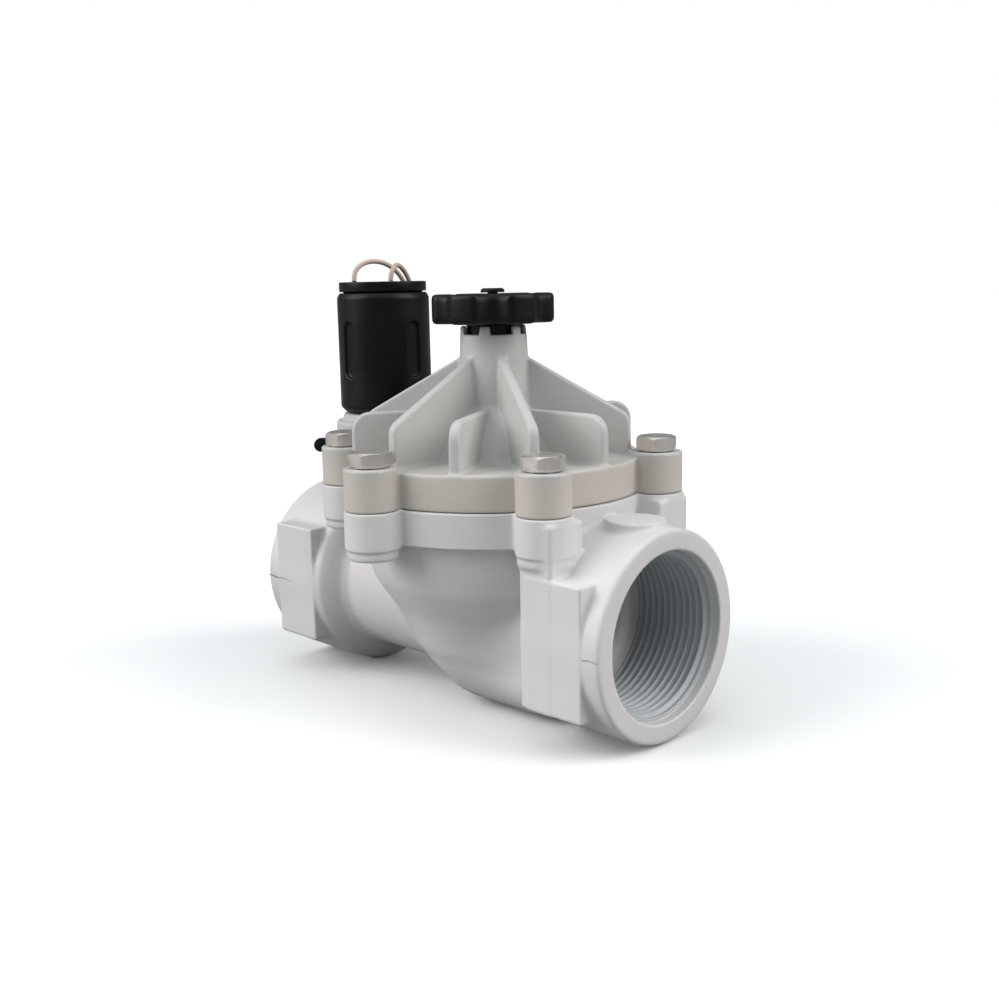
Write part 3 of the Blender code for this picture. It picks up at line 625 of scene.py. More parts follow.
def rubber(name, base, shadow):
    made, tree, shader = new_material(name)
    color = ramp(tree, noise(tree, 220.0, 4.0), [(0.35, shadow), (0.65, base)])
    tree.links.new(color, shader.inputs["Base Color"])
    tree.links.new(to_range(tree, noise(tree, 400.0), 0.6, 0.85), shader.inputs["Roughness"])
    bumped(tree, shader, noise(tree, 1400.0, 2.0), 0.3, 0.00005)
    return made


def winding():
    """Fine enamelled wire in close turns, with the grooves between turns painted darker as shade."""
    made, tree, shader = new_material("copper_winding")
    place = add_node(tree, "ShaderNodeTexCoord")
    turns = add_node(tree, "ShaderNodeTexWave", bands_direction="Z", Scale=420.0, Distortion=0.4)
    tree.links.new(place.outputs["Object"], turns.inputs["Vector"])
    # The colour darkens where the bump's wave is low: painted shade in the grooves between turns.
    tree.links.new(
        ramp(tree, turns.outputs["Fac"], [(0.1, (0.22, 0.07, 0.03)), (0.8, (0.75, 0.32, 0.15))]),
        shader.inputs["Base Color"],
    )
    shader.inputs["Metallic"].default_value = 0.9
    tree.links.new(to_range(tree, noise(tree, 300.0), 0.25, 0.42), shader.inputs["Roughness"])
    bumped(tree, shader, turns.outputs["Fac"], 0.6, 0.0001)
    return made


# ---------------------------------------------------------------- body

def sketch_body():
    """Outlines that the body's field reads, each about its own axis."""
    past = -20.0
    end = PORT_END_X
    shell = [(past, end), (PORT_R, end), (PORT_R, 46.4), (26.4, 46.0), (26.4, 44.2), (DUCT_R, 43.6)]
    shell += [(DUCT_R, 18.0), (NECK_R, 0.0), (NECK_R, -38.6), (NECK_R + 1.4, -41.2), (PORT_R - 2.4, -43.8)]
    shell += [(PORT_R - 0.5, -45.8), (PORT_R, -47.8), (PORT_R, -end), (past, -end)]
    bowl = [(past, 30.0), (42.0, 30.0), (42.0, 25.0), (40.6, 16.0), (38.8, 10.0), (35.6, 5.0)]
    bowl += [(32.2, 0.0), (29.2, -6.0), (26.6, -12.0), (22.0, -18.0), (16.0, -22.5), (past, -24.0)]
    chamber = [(past, 46.0), (36.0, 46.0), (36.0, 20.0), (34.4, 10.0), (30.5, 3.0), (27.0, -3.0)]
    chamber += [(24.0, -9.0), (20.0, -14.0), (past, -14.0)]
    mouth = end - COUNTERBORE_DEPTH
    deep = mouth - THREAD_LENGTH
    port = [(past, end + 8.0), (COUNTERBORE_R, end + 8.0), (COUNTERBORE_R, mouth)]
    port += [(THREAD_ROOT_R, mouth), (THREAD_ROOT_R, deep), (past, deep)]
    outlet = [(past, 60.0), (20.6, 60.0), (20.4, deep + 1.5), (15.5, deep - 2.0), (15.5, 0.0), (past, 0.0)]
    return {
        "shell": Profile(shell, 0.7),
        "bowl": Profile(bowl, 1.5),
        "chamber": Profile(chamber, 1.0),
        "port": Profile(port, 0.3),
        "outlet": Profile(outlet, 0.6),
    }


def outer_body(x, y, z, sketch):
    """The body before anything is hollowed out."""
    side = np.abs(y)
    ends = np.abs(x)
    r = np.hypot(x - BONNET_X, y)
    u, v = fold(x - BONNET_X, y, 6, BOLT_ANGLES[0])
    to_bolt = np.hypot(u - BOLT_CIRCLE_R, v)
    keel = box_field(x, side, z, (-2.5, -DUCT_R, KEEL_Z), (47.0, DUCT_R, 5.0), 13.0)
    bowl = smooth_min(sketch["bowl"].at(r, z), keel, 8.0)
    field = smooth_min(sketch["shell"].at(np.hypot(y, z), x), bowl, 2.6)
    blocks = box_field(ends, side, z, (BLOCK_X[0], -40.0, BLOCK_Z[0]), (BLOCK_X[1], PORT_R, BLOCK_Z[1]), 0.7)
    field = smooth_min(field, blocks, 1.2)
    columns = box_field(x, side, z, (46.2, 17.0, BLOCK_Z[0]), (58.0, PORT_R, 34.0), 1.0)
    field = smooth_min(field, columns, 0.9)
    pads = disc_field(np.hypot(ends - PAD_X, y), z, PAD_R, 22.0, PAD_TOP_Z, 0.6)
    field = smooth_min(field, pads, 1.6)
    feet = box_field(ends, side, z, (50.0, -6.0, -AXIS_HEIGHT), (70.0, 6.0, -20.0), 0.3)
    field = smooth_min(field, feet, 0.8)
    flange = disc_field(r, z, BODY_FLANGE_R, *BODY_FLANGE_Z, 0.3)
    field = smooth_min(field, flange, 1.4)
    boss = disc_field(to_bolt, z, BODY_BOSS_R, 24.6, BODY_FLANGE_Z[1], 0.3)
    step = disc_field(to_bolt, z, BODY_BOSS_R - 0.6, 21.4, 30.0, 1.2)
    field = smooth_min(field, smooth_min(boss, step, 0.9), 1.6)
    return np.maximum(field, -AXIS_HEIGHT - z)


def body_field(sketch):
    seat_z, seat_r, tube_r, duct_r = 20.0, 16.0, 19.5, 18.2

    def field(x, y, z):
        result = outer_body(x, y, z, sketch)
        rho = np.hypot(y, z)
        ends = np.abs(x)
        bx = x - BONNET_X
        r = np.hypot(bx, y)
        inlet = np.maximum(rho - PASSAGE_R, np.maximum(x + 5.0, -x - 50.0))
        hollow = smooth_min(sketch["chamber"].at(r, z), inlet, 5.0)
        result = smooth_max(result, -hollow, 1.2)
        tube = np.maximum(r - tube_r, np.maximum(z - seat_z, -z - 8.0))
        duct = np.maximum(rho - duct_r, np.maximum(-bx, x - 44.0))
        elbow = np.sqrt(bx ** 2 + rho ** 2) - (tube_r - 0.2)
        result = smooth_min(result, smooth_min(np.minimum(tube, elbow), duct, 2.0), 2.0)
        bore = np.maximum(r - seat_r, -z - 2.0)
        bend = np.sqrt(bx ** 2 + rho ** 2) - seat_r
        outlet = smooth_min(np.minimum(bore, bend), sketch["outlet"].at(rho, x), 2.0)
        result = smooth_max(result, -outlet, 1.0)
        result = smooth_max(result, -sketch["port"].at(rho, ends), 0.5)
        ledge = np.maximum(r - 43.7, 33.0 - z)
        u, v = fold(bx, y, 6, BOLT_ANGLES[0])
        pocket = np.maximum(np.hypot(u - BOLT_CIRCLE_R, v) - 5.0, 24.2 - z)
        return smooth_max(result, -np.minimum(ledge, pocket), 0.4)

    return field


def make_body(materials):
    field = body_field(sketch_body())
    low = (-76.0, -59.5, -33.0)
    high = (76.0, 59.5, 37.5)
    mesh = field_mesh("body_moulding", field, low, high, 0.75, keep=0.4)
    add_piece("body_moulding", mesh, materials["body"], "valve_body", ["valve_body"])
    for name, side in (("outlet_thread", 1), ("inlet_thread", -1)):
        # The threads take a darker, cooler copy of the body plastic: painted shade inside the port bores.
        add_piece(name, thread_mesh(name, side), materials["thread"], "valve_body")
    # The ridges are real flash; their dark colour is painted shade along the parting seams.
    for name, span, face in (
        ("inlet_parting_scar", (-73.9, -60.5), PORT_R + 0.28),
        ("outlet_parting_scar", (66.4, 73.9), PORT_R),
    ):
        add_piece(name, scar_mesh(name, span, face), materials["scar"], "valve_body")


def scar_mesh(name, span, face):
    """A thin ragged ridge of flash where the mould's halves met, coloured dark as painted shade along the seam.
    """
    rings = []
    for i, x in enumerate(np.linspace(*span, 33)):
        fade = math.sin(math.pi * (i + 0.4) / 32.8)
        half = 0.05 + 0.16 * fade * (0.6 + 0.4 * math.sin(2.3 * i) * math.cos(1.1 * i))
        drift = 0.18 * math.sin(0.37 * i) + 0.08 * math.sin(1.7 * i)
        proud = 0.04 + 0.05 * fade
        section = ((-half, -0.4), (-half * 0.6, proud), (half * 0.5, proud), (half, -0.4))
        rings.append([(x, -face - out, up + drift) for up, out in section])
    return facing_out(shade(rings_mesh(name, rings)))


def thread_mesh(name, side):
    """A sleeve in the port with the pipe thread on its bore, its outside sunk in the wall."""
    around, per_pitch = 120, 8
    mouth = PORT_END_X - COUNTERBORE_DEPTH + 0.12
    rows = int(THREAD_LENGTH / THREAD_PITCH * per_pitch)
    middle = (THREAD_ROOT_R + THREAD_CREST_R) / 2
    height = (THREAD_ROOT_R - THREAD_CREST_R) / 2
    angles = np.linspace(0.0, 2 * math.pi, around, endpoint=False)
    rings = []
    for i in range(rows + 1):
        depth = THREAD_LENGTH * i / rows
        phase = 2 * math.pi * depth / THREAD_PITCH + angles
        wave = np.arcsin(0.95 * np.sin(phase)) / math.asin(0.95)
        radius = middle + height * wave
        start = min(1.0, depth / 1.2)
        radius = THREAD_ROOT_R - 0.05 - (THREAD_ROOT_R - 0.05 - radius) * start
        x = side * (mouth - depth)
        rings.append([(x, r * math.cos(a), side * r * math.sin(a)) for r, a in zip(radius, angles)])
    outer = THREAD_ROOT_R + 0.4
    for depth in (THREAD_LENGTH, 0.0):
        x = side * (mouth - depth)
        rings.append([(x, outer * math.cos(a), side * outer * math.sin(a)) for a in angles])
    mesh = rings_mesh(name, rings, closed_loop=True)
    mesh.shade_smooth()
    return facing_out(mesh)


def facing_out(mesh):
    work = bmesh.new()
    work.from_mesh(mesh)
    bmesh.ops.recalc_face_normals(work, faces=work.faces)
    work.to_mesh(mesh)
    work.free()
    return mesh


# ---------------------------------------------------------------- bonnet

def sketch_bonnet():
    past = -20.0
    turned = [(10.0, TOWER_TOP_Z), (TOWER_R, 76.0), (TOWER_R + 0.2, 61.5), (11.6, 59.8), (13.5, 58.9)]
    turned += [(15.6, 57.4), (17.5, 55.5), (19.1, 53.9), (20.5, 52.0), (21.8, 50.3), (22.8, 48.5)]
    turned += [(23.6, 47.2), (24.6, FLANGE_Z[1]), (FLANGE_R, FLANGE_Z[1]), (FLANGE_R, FLANGE_Z[0] - 0.2)]
    turned += [(36.0, FLANGE_Z[0] - 0.2), (34.4, 39.5), (24.0, 42.5), (20.8, 44.5), (18.6, 48.5)]
    turned += [(16.5, 52.0), (13.5, 55.2), (11.8, 57.0), (8.9, 57.0), (8.9, 48.0), (7.0, 48.0)]
    turned += [(7.0, 69.0), (4.7, 69.0), (4.7, 73.5), (7.0, 73.5), (7.0, 77.3), (7.7, 77.3)]
    turned += [(7.7, 78.8), (8.3, 79.0), (8.3, TOWER_TOP_Z)]
    inner = [(9.3, 59.2), (12.8, 57.6), (16.4, 54.2), (19.2, 50.4), (21.0, 46.8), (22.5, 44.0)]
    tall = inner + [(TALL_RIB_R, 44.0)] + arc((TALL_RIB_R - 4.0, 55.8), 4.0, 0, 62, 7) + [(9.3, 76.3)]
    low_corner = arc((LOW_RIB_R - 5.5, LOW_RIB_TOP_Z - 5.5), 5.5, 0, 90, 8)
    low = inner + [(LOW_RIB_R, 44.0)] + low_corner + [(9.3, LOW_RIB_TOP_Z)]
    lobe = [(past, 55.9), (14.6, 55.9), (14.6, 53.5), (LOBE_R, 53.5), (LOBE_R, 41.0)]
    lobe += [(13.0, 37.0), (past, 37.0)]
    seat = [(past, 60.0), (10.6, 60.0), (10.6, 53.6), (8.0, 53.6), (8.0, 46.8), (5.5, 46.8)]
    seat += [(5.5, 43.2), (past, 43.2)]
    return {
        "turned": Profile(turned, 0.4),
        "tall": Profile(tall, 0.5),
        "low": Profile(low, 0.5),
        "lobe": Profile(lobe, 0.5),
        "seat": Profile(seat, 0.2),
    }


def rib_field(profile, u, v, z):
    """A rib that thickens a little towards the flange."""
    half = 1.28 + 0.012 * (76.0 - z)
    return smooth_max(profile.at(u, z), np.abs(v) - half, 0.9)


def bonnet_field(sketch):
    turn = math.radians(BLEED_DEG)

    def field(x, y, z):
        bx, sx = x - BONNET_X, x - SOLENOID_X
        r, rs = np.hypot(bx, y), np.hypot(sx, y)
        result = sketch["turned"].at(r, z)
        tall_u, tall_v = fold(bx, y, 6, BOLT_ANGLES[0])
        result = smooth_min(result, rib_field(sketch["tall"], tall_u, tall_v, z), 1.1)
        low_u, low_v = fold(bx, y, 6, 0.0)
        low = rib_field(sketch["low"], low_u, low_v, z)
        beside = disc_field(rs, z, SOLENOID_R + 1.2, 54.5, 90.0, 0.5)
        result = smooth_min(result, smooth_max(low, -beside, 0.5), 1.1)
        to_bolt = np.hypot(tall_u - BOLT_CIRCLE_R, tall_v)
        boss = disc_field(to_bolt, z, BONNET_BOSS_R, FLANGE_Z[0] - 0.2, BOSS_TOP_Z, 0.5)
        result = smooth_min(result, boss, 1.2)
        result = smooth_min(result, sketch["lobe"].at(rs, z), 1.4)
        result = smooth_max(result, 35.52 - z, 0.2)
        hollow = np.minimum(to_bolt - 3.5, sketch["seat"].at(rs, z))
        out = sx * math.cos(turn) + y * math.sin(turn)
        across = y * math.cos(turn) - sx * math.sin(turn)
        bleed = np.maximum(np.hypot(across, z - BLEED_Z) - 2.8, 3.0 - out)
        pilot = np.maximum(np.hypot(y, z - 44.6) - 1.1, np.maximum(-sx, sx - 33.0))
        hollow = np.minimum(hollow, np.minimum(bleed, pilot))
        result = smooth_max(result, -hollow, 0.4)
        notch = np.maximum(np.abs(tall_v) - 3.3, np.maximum(82.6 - z, 7.0 - tall_u))
        return smooth_max(result, -notch, 0.5)

    return field


def make_bonnet(materials):
    field = bonnet_field(sketch_bonnet())
    low = (-62.5, -58.5, 34.5)
    high = (59.0, 58.5, 86.5)
    mesh = field_mesh("bonnet_moulding", field, low, high, 0.7, keep=0.45)
    add_piece("bonnet_moulding", mesh, materials["bonnet"], "valve_body", ["bonnet"])


# ---------------------------------------------------------------- handle and solenoid

def make_handle(materials):
    outline = [(-20.0, HANDLE_Z[1]), (HANDLE_R, HANDLE_Z[1]), (HANDLE_R, HANDLE_Z[0])]
    outline += [(7.95, HANDLE_Z[0]), (7.95, 79.3), (-20.0, 79.3)]
    rim = Profile(outline, 0.7)
    centre_r, flute_r = HANDLE_R + 1.2, 4.4

    def field(x, y, z):
        bx = x - BONNET_X
        r = np.hypot(bx, y)
        u, v = fold(bx, y, 6, 15.0)
        flute = np.hypot(u - centre_r, v) - flute_r
        result = smooth_max(rim.at(r, z), -flute, 2.6)
        dish = np.maximum(r - 13.2, HANDLE_Z[1] - 0.7 - z)
        collar = np.maximum(r - 5.2, z - HANDLE_Z[1])
        result = smooth_max(result, -dish, 0.8)
        result = smooth_min(result, np.maximum(collar, 90.0 - z), 0.8)
        socket = np.maximum(np.maximum(np.abs(bx), np.abs(y)) - 3.3, z - 90.3)
        hole = np.maximum(r - 1.9, 88.0 - z)
        return smooth_max(result, -np.minimum(socket, hole), 0.3)

    reach = HANDLE_R + 1.5
    low = (BONNET_X - reach, -reach, 78.3)
    high = (BONNET_X + reach, reach, 95.6)
    mesh = field_mesh("handle_moulding", field, low, high, 0.5, keep=0.5)
    black = materials["black"]
    add_piece("handle_moulding", mesh, black, "flow_control", ["flow_control_handle"])


def make_housing(materials):
    low_z, top_z = SOLENOID_Z
    outline = [(14.3, top_z), (SOLENOID_R, top_z - 1.6), (SOLENOID_R + 0.05, low_z + 1.8)]
    outline += [(SOLENOID_R - 1.7, low_z), (7.7, low_z), (7.7, 48.0), (5.4, 48.0)]
    outline += [(5.4, low_z + 3.0), (13.3, low_z + 3.0), (13.3, top_z)]
    cup = Profile(outline, 0.3)

    def field(x, y, z):
        sx = x - SOLENOID_X
        r = np.hypot(sx, y)
        u, v = fold(sx, y, 4, 0.0)
        slot = np.hypot(v, np.maximum(np.abs(z - 77.0) - 6.7, 0.0)) - 2.3
        recess = smooth_max(slot, SOLENOID_R - 1.1 - u, 0.8)
        return smooth_max(cup.at(r, z), -recess, 0.6)

    reach = SOLENOID_R + 1.5
    low = (SOLENOID_X - reach, -reach, 47.0)
    high = (SOLENOID_X + reach, reach, 96.5)
    mesh = field_mesh("solenoid_moulding", field, low, high, 0.6, keep=0.5)
    black = materials["black"]
    add_piece("solenoid_moulding", mesh, black, "valve_body", ["solenoid_housing"])


def make_cap(materials):
    """The potted cap, with a raised rim round its top."""
    outline = [(13.0, 92.6), (13.0, 95.7), (CAP_R, 95.7), (CAP_R, CAP_TOP_Z)]
    outline += [(CAP_R - 1.4, CAP_TOP_Z), (CAP_R - 1.9, CAP_TOP_Z - 0.5), (0.01, CAP_TOP_Z - 0.5)]
    outline = [(0.01, 92.6)] + rounded(outline, 0.45, closed=False)
    mesh = shade(lathe("cap_moulding", outline, (SOLENOID_X, 0.0), 96))
    black = materials["black"]
    add_piece("cap_moulding", facing_out(mesh), black, "valve_body", ["solenoid_cap"])
    for name, place in LEAD_EXITS.items():
        boss = [(1.9, CAP_TOP_Z - 1.5), (1.9, CAP_TOP_Z - 0.3), (1.2, CAP_TOP_Z + 0.1)]
        boss.append((LEAD_R + 0.02, CAP_TOP_Z + 0.1))
        mesh = lathe(name, [(0.01, CAP_TOP_Z - 1.5)] + boss + [(0.01, CAP_TOP_Z + 0.1)], place, 24)
        add_piece(name, facing_out(shade(mesh)), black, "valve_body")


# ---------------------------------------------------------------- bolts and screws

def hexagon_radius(angle, across_flats):
    pitch = math.pi / 3
    return across_flats / 2 / math.cos((angle + pitch / 2) % pitch - pitch / 2)


def bolt_mesh(name, angle_deg):
    """A hexagon-head bolt with a chamfered top, a washer face and a domed end."""
    seat, height = BOSS_TOP_Z + 0.3, 4.2
    turn = math.radians(angle_deg)
    centre = (BONNET_X + BOLT_CIRCLE_R * math.cos(turn), BOLT_CIRCLE_R * math.sin(turn))
    flat_r = BOLT_AF / 2 * 0.93
    levels = [("round", 0.4, 27.0), ("round", 2.6, 27.2), ("round", 3.1, 27.9), ("round", 3.1, seat)]
    levels += [("round", BOLT_AF / 2 * 0.96, seat), ("round", BOLT_AF / 2 * 0.96, seat + 0.35)]
    levels += [("hex", -0.12, seat + 0.35), ("hex", 0.0, seat + 0.55), ("hex", 0.0, None)]
    levels += [("round", flat_r, seat + height), ("round", flat_r * 0.5, seat + height - 0.02)]
    levels += [("round", 0.05, seat + height - 0.03)]
    rings = []
    for kind, size, z in levels:
        ring = []
        for step in range(72):
            a = 2 * math.pi * step / 72
            r = size if kind == "round" else hexagon_radius(a, BOLT_AF) + size
            level = seat + height - (r - flat_r) * 0.55 if z is None else z
            ring.append((centre[0] + r * math.cos(a + turn), centre[1] + r * math.sin(a + turn), level))
        rings.append(ring)
    return facing_out(shade(rings_mesh(name, rings), 28.0))


def make_bolts(materials):
    for number, angle in enumerate(BOLT_ANGLES, start=1):
        name = f"hex_bolt_{number}"
        mesh = bolt_mesh(name, angle)
        add_piece(name, mesh, materials["steel"], "valve_body", [f"bolt_{number}"])


def make_handle_screw(materials):
    outline = [(0.05, 84.0), (1.6, 84.0), (1.6, 94.9), (3.6, 94.9), (3.6, 95.7), (2.9, 96.2), (0.05, 96.2)]
    mesh = facing_out(shade(lathe("handle_screw_head", outline, (BONNET_X, 0.0), 48)))
    dark = materials["black_metal"]
    add_piece("handle_screw_head", mesh, dark, "flow_control", ["handle_screw"])


def make_bleed_screw(materials):
    """A knurled finger screw lying along its own axis."""
    inner, outer, head = LOBE_R + 0.4, LOBE_R + 4.0, 3.6
    turn = math.radians(BLEED_DEG)
    along = np.array([math.cos(turn), math.sin(turn), 0.0])
    side = np.array([-math.sin(turn), math.cos(turn), 0.0])
    start = np.array([SOLENOID_X, 0.0, BLEED_Z])
    levels = [(0.05, 5.8), (1.6, 6.2), (2.4, 7.0), (2.4, inner - 0.05), (head - 0.2, inner)]
    levels += [(head, inner + 0.3), (head, outer - 0.6), (head - 0.5, outer - 0.1), (1.0, outer), (0.05, outer)]
    rings = []
    for r, distance in levels:
        ring = []
        for step in range(72):
            a = 2 * math.pi * step / 72
            knurl = 0.16 * math.cos(18 * a) if r > head - 0.1 else 0.0
            spoke = side * math.cos(a) * (r + knurl) + np.array([0, 0, 1]) * math.sin(a) * (r + knurl)
            ring.append(start + along * distance + spoke)
        rings.append(ring)
    mesh = facing_out(shade(rings_mesh("bleed_screw_head", rings)))
    black = materials["black"]
    add_piece("bleed_screw_head", mesh, black, "bleed_screw", ["bleed_screw"])
    tab = tab_mesh(start, along, side, outer)
    add_piece("bleed_tab", tab, black, "bleed_screw")


def tab_mesh(start, along, side, foot):
    """The flat finger tab on the end of the bleed screw, with a round end."""
    outline = [(foot - 0.5, -2.3), (foot - 0.5, 2.3)]
    outline += [(foot + 2.0 + 2.2 * math.sin(a), 2.3 * math.cos(a)) for a in np.linspace(0.0, math.pi, 13)]
    rings = []
    for offset, inset in ((-1.2, 0.35), (-0.95, 0.0), (0.95, 0.0), (1.2, 0.35)):
        ring = []
        for d, w in outline:
            reach = d - inset if d > foot else d
            half = w * (1 - inset / 2.3)
            ring.append(start + along * reach + np.array([0, 0, 1]) * half + side * offset)
        rings.append(ring)
    return facing_out(shade(rings_mesh("bleed_tab", rings)))


# ---------------------------------------------------------------- leads

LEAD_EXITS = {"lead_boss_1": (-52.0, -5.6), "lead_boss_2": (-43.6, 3.2)}

# The leads' routes, with heights from the standing surface.
LEAD_ROUTES = {
    "lead_1": [
        (-52.0, -5.6, 130.4), (-52.4, -4.6, 133.6), (-52.2, -1.6, 136.0), (-51.4, 2.8, 136.9),
        (-50.8, 8.0, 135.8), (-50.6, 13.0, 132.4), (-50.8, 17.0, 126.0), (-51.2, 19.2, 116.0),
        (-51.8, 20.8, 102.0), (-52.4, 23.2, 86.0), (-53.0, 27.6, 68.0), (-53.6, 33.4, 51.0),
        (-54.0, 36.6, 34.0), (-53.8, 38.0, 18.0), (-52.2, 38.4, 8.0), (-48.4, 38.2, 2.6),
        (-43.0, 38.05, 1.0), (-36.4, 38.05, 1.3),
    ],
    "lead_2": [
        (-43.6, 3.2, 130.4), (-43.8, 4.0, 133.2), (-44.6, 6.4, 135.4), (-46.0, 10.0, 134.8),
        (-47.4, 13.8, 131.8), (-48.4, 17.0, 126.0), (-49.2, 18.8, 116.0), (-50.0, 20.0, 102.0),
        (-50.7, 21.8, 86.0), (-51.5, 25.8, 68.0), (-52.2, 31.7, 51.8), (-52.7, 34.8, 34.0),
        (-52.6, 36.3, 18.0), (-51.0, 36.6, 7.6), (-47.4, 36.4, 2.5), (-42.0, 36.35, 1.0),
        (-34.5, 36.35, 1.3),
    ],
}


def smooth_route(knots, spacing):
    """Points about a spacing apart on a smooth curve through the knots."""
    walk = [Vector(k) for k in knots]
    walk = [walk[0] * 2 - walk[1]] + walk + [walk[-1] * 2 - walk[-2]]
    points = [walk[1]]
    for a, b, c, d in zip(walk, walk[1:], walk[2:], walk[3:]):
        pieces = max(1, round((c - b).length / spacing))
        for i in range(1, pieces + 1):
            t = i / pieces
            cubic = (3 * b - 3 * c + d - a) * t * t * t + (2 * a - 5 * b + 4 * c - d) * t * t
            points.append((cubic + (c - a) * t + 2 * b) / 2)
    return [np.array(p) for p in points]


def path_length(points):
    return float(np.linalg.norm(np.diff(np.array(points), axis=0), axis=1).sum())


def coil_points(radius, length):
    """Turns that climb by one pitch each, beginning where the lead meets the coil."""
    start = np.array([*COIL_CENTRE, 1.3])
    per_turn = math.hypot(2 * math.pi * radius, COIL_PITCH)
    turns = length / per_turn
    count = int(turns * 40)
    points = []
    for i in range(1, count + 1):
        turn = turns * i / count
        a = 2 * math.pi * turn - math.pi / 2
        points.append(start + np.array([radius * math.cos(a), radius * math.sin(a), COIL_PITCH * turn]))
    return points


def tube_curve(name, points, radius, material):
    curve = bpy.data.curves.new(name, "CURVE")
    curve.dimensions = "3D"
    curve.bevel_depth = radius * MM
    curve.bevel_resolution = 4
    curve.use_fill_caps = True
    spline = curve.splines.new("POLY")
    spline.points.add(len(points) - 1)
    for point, place in zip(spline.points, points):
        point.co = (*(Vector(place) * MM), 1.0)
    curve.materials.append(material)
    made = bpy.data.objects.new(name, curve)
    bpy.context.scene.collection.objects.link(made)
    return made


def coil_tie(materials, top):
    """A flat plastic tie round the coil's far side, with its two ends twisted together."""
    inner = COIL_R - COIL_PITCH / 2 - LEAD_R - 0.35
    outer = COIL_R + COIL_PITCH / 2 + LEAD_R + 0.35
    loop = rounded([(inner, 0.3), (outer, 0.3), (outer, top), (inner, top)], 0.9, 6)
    rings = []
    for depth, width in ((0.2, 1.5), (-0.2, 1.5), (-0.2, -1.5), (0.2, -1.5)):
        middle = np.array([(inner + outer) / 2, (0.3 + top) / 2])
        ring = []
        for r, z in loop:
            away = np.array([r, z]) - middle
            r, z = np.array([r, z]) + depth * np.sign(away)
            ring.append((COIL_CENTRE[0] + width, COIL_CENTRE[1] + r, z - AXIS_HEIGHT))
        rings.append(ring)
    band = facing_out(shade(rings_mesh("coil_tie_band", rings, closed_loop=True)))
    foot = np.array([COIL_CENTRE[0], COIL_CENTRE[1] + outer - 1.6, top - AXIS_HEIGHT])
    rings = []
    for step in range(37):
        share = step / 36
        turn = 2 * math.pi * 1.2 * share
        half = 1.5 - 0.3 * share
        wide = np.array([math.cos(turn), math.sin(turn), 0.0]) * half
        thin = np.array([-math.sin(turn), math.cos(turn), 0.0]) * 0.3
        middle = foot + np.array([0.0, -0.8 * share ** 2, -0.3 + 6.5 * share])
        rings.append([middle + wide + thin, middle - wide + thin, middle - wide - thin, middle + wide - thin])
    twist = facing_out(shade(rings_mesh("coil_tie_twist", rings)))
    made = []
    for mesh in (band, twist):
        made.append(add_piece(mesh.name, mesh, materials["white"], "valve_body"))
    return made


def make_leads(materials):
    tie = coil_tie(materials, COIL_TIE_TOP)
    for name, radius, nodes in (
        ("lead_1", COIL_R - COIL_PITCH / 2, ["lead_1", "lead_coil"]),
        ("lead_2", COIL_R + COIL_PITCH / 2, ["lead_2"]),
    ):
        route = smooth_route(LEAD_ROUTES[name], 1.5)
        tangent = np.array([COIL_CENTRE[0], COIL_CENTRE[1] - radius, 1.3])
        straight = [route[-1] + (tangent - route[-1]) * t for t in (0.25, 0.5, 0.75, 1.0)]
        used = path_length(route + straight)
        points = route + straight + coil_points(radius, LEAD_LENGTH - used)
        insulation = tube_curve(f"{name}_wire", points, LEAD_R, materials["lead"])
        core_path = [points[-1], points[-1] + (points[-1] - points[-2]) * 1.2]
        core_path.append(points[-1] + (points[-1] - points[-2]) * 2.6)
        core = tube_curve(f"{name}_core", core_path, LEAD_R * 0.55, materials["copper"])
        for piece, slot in ((insulation, "lead_insulation"), (core, "copper")):
            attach(piece, "valve_body")
        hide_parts(*nodes)
        [value * MM for value in points[0]]


# ---------------------------------------------------------------- build

def make_materials():
    flange_top = (AXIS_HEIGHT + FLANGE_Z[1]) * MM
    beige = (1.06, 0.99, 0.93)
    return {
        "body": moulded_plastic("body_plastic", (0.69, 0.67, 0.665), (0.645, 0.63, 0.627), (0.42, 0.55)),
        "bonnet": moulded_plastic(
            "bonnet_plastic",
            (0.55, 0.545, 0.53),
            (0.5, 0.492, 0.475),
            (0.42, 0.55),
            low_tint=(flange_top, beige),
        ),
        # Thread colour: the body plastic made darker and cooler, as painted shade inside the port bores.
        "thread": moulded_plastic("thread_plastic_painted_shade", (0.46, 0.49, 0.505), (0.4, 0.43, 0.445), (0.35, 0.5)),
        "black": moulded_plastic(
            "black_plastic", (0.003, 0.003, 0.004), (0.0015,) * 3, (0.34, 0.46), fleck=0.2, shine=0.22
        ),
        # Flash colour: dark, as painted shade along the parting seams.
        "scar": moulded_plastic("parting_flash_painted_shade", (0.2, 0.19, 0.18), (0.1, 0.095, 0.09), (0.5, 0.7)),
        "white": moulded_plastic("white_plastic", (0.8, 0.8, 0.77), (0.74, 0.74, 0.71), (0.35, 0.5)),
        "lead": moulded_plastic("lead_plastic", (0.55, 0.44, 0.37), (0.48, 0.38, 0.32), (0.35, 0.45)),
        "steel": metal("stainless", (0.86, 0.8, 0.76), (0.72, 0.66, 0.62), (0.3, 0.44)),
        "black_metal": metal("blackened_steel", (0.06, 0.06, 0.06), (0.03, 0.03, 0.03), (0.3, 0.45)),
        "brass": metal("brass", (0.85, 0.62, 0.3), (0.7, 0.48, 0.22), (0.22, 0.38)),
        "copper": metal("copper", (0.86, 0.45, 0.27), (0.7, 0.34, 0.2), (0.2, 0.35)),
        "winding": winding(),
        "rubber": rubber("black_rubber", (0.035, 0.035, 0.035), (0.02, 0.02, 0.02)),
    }


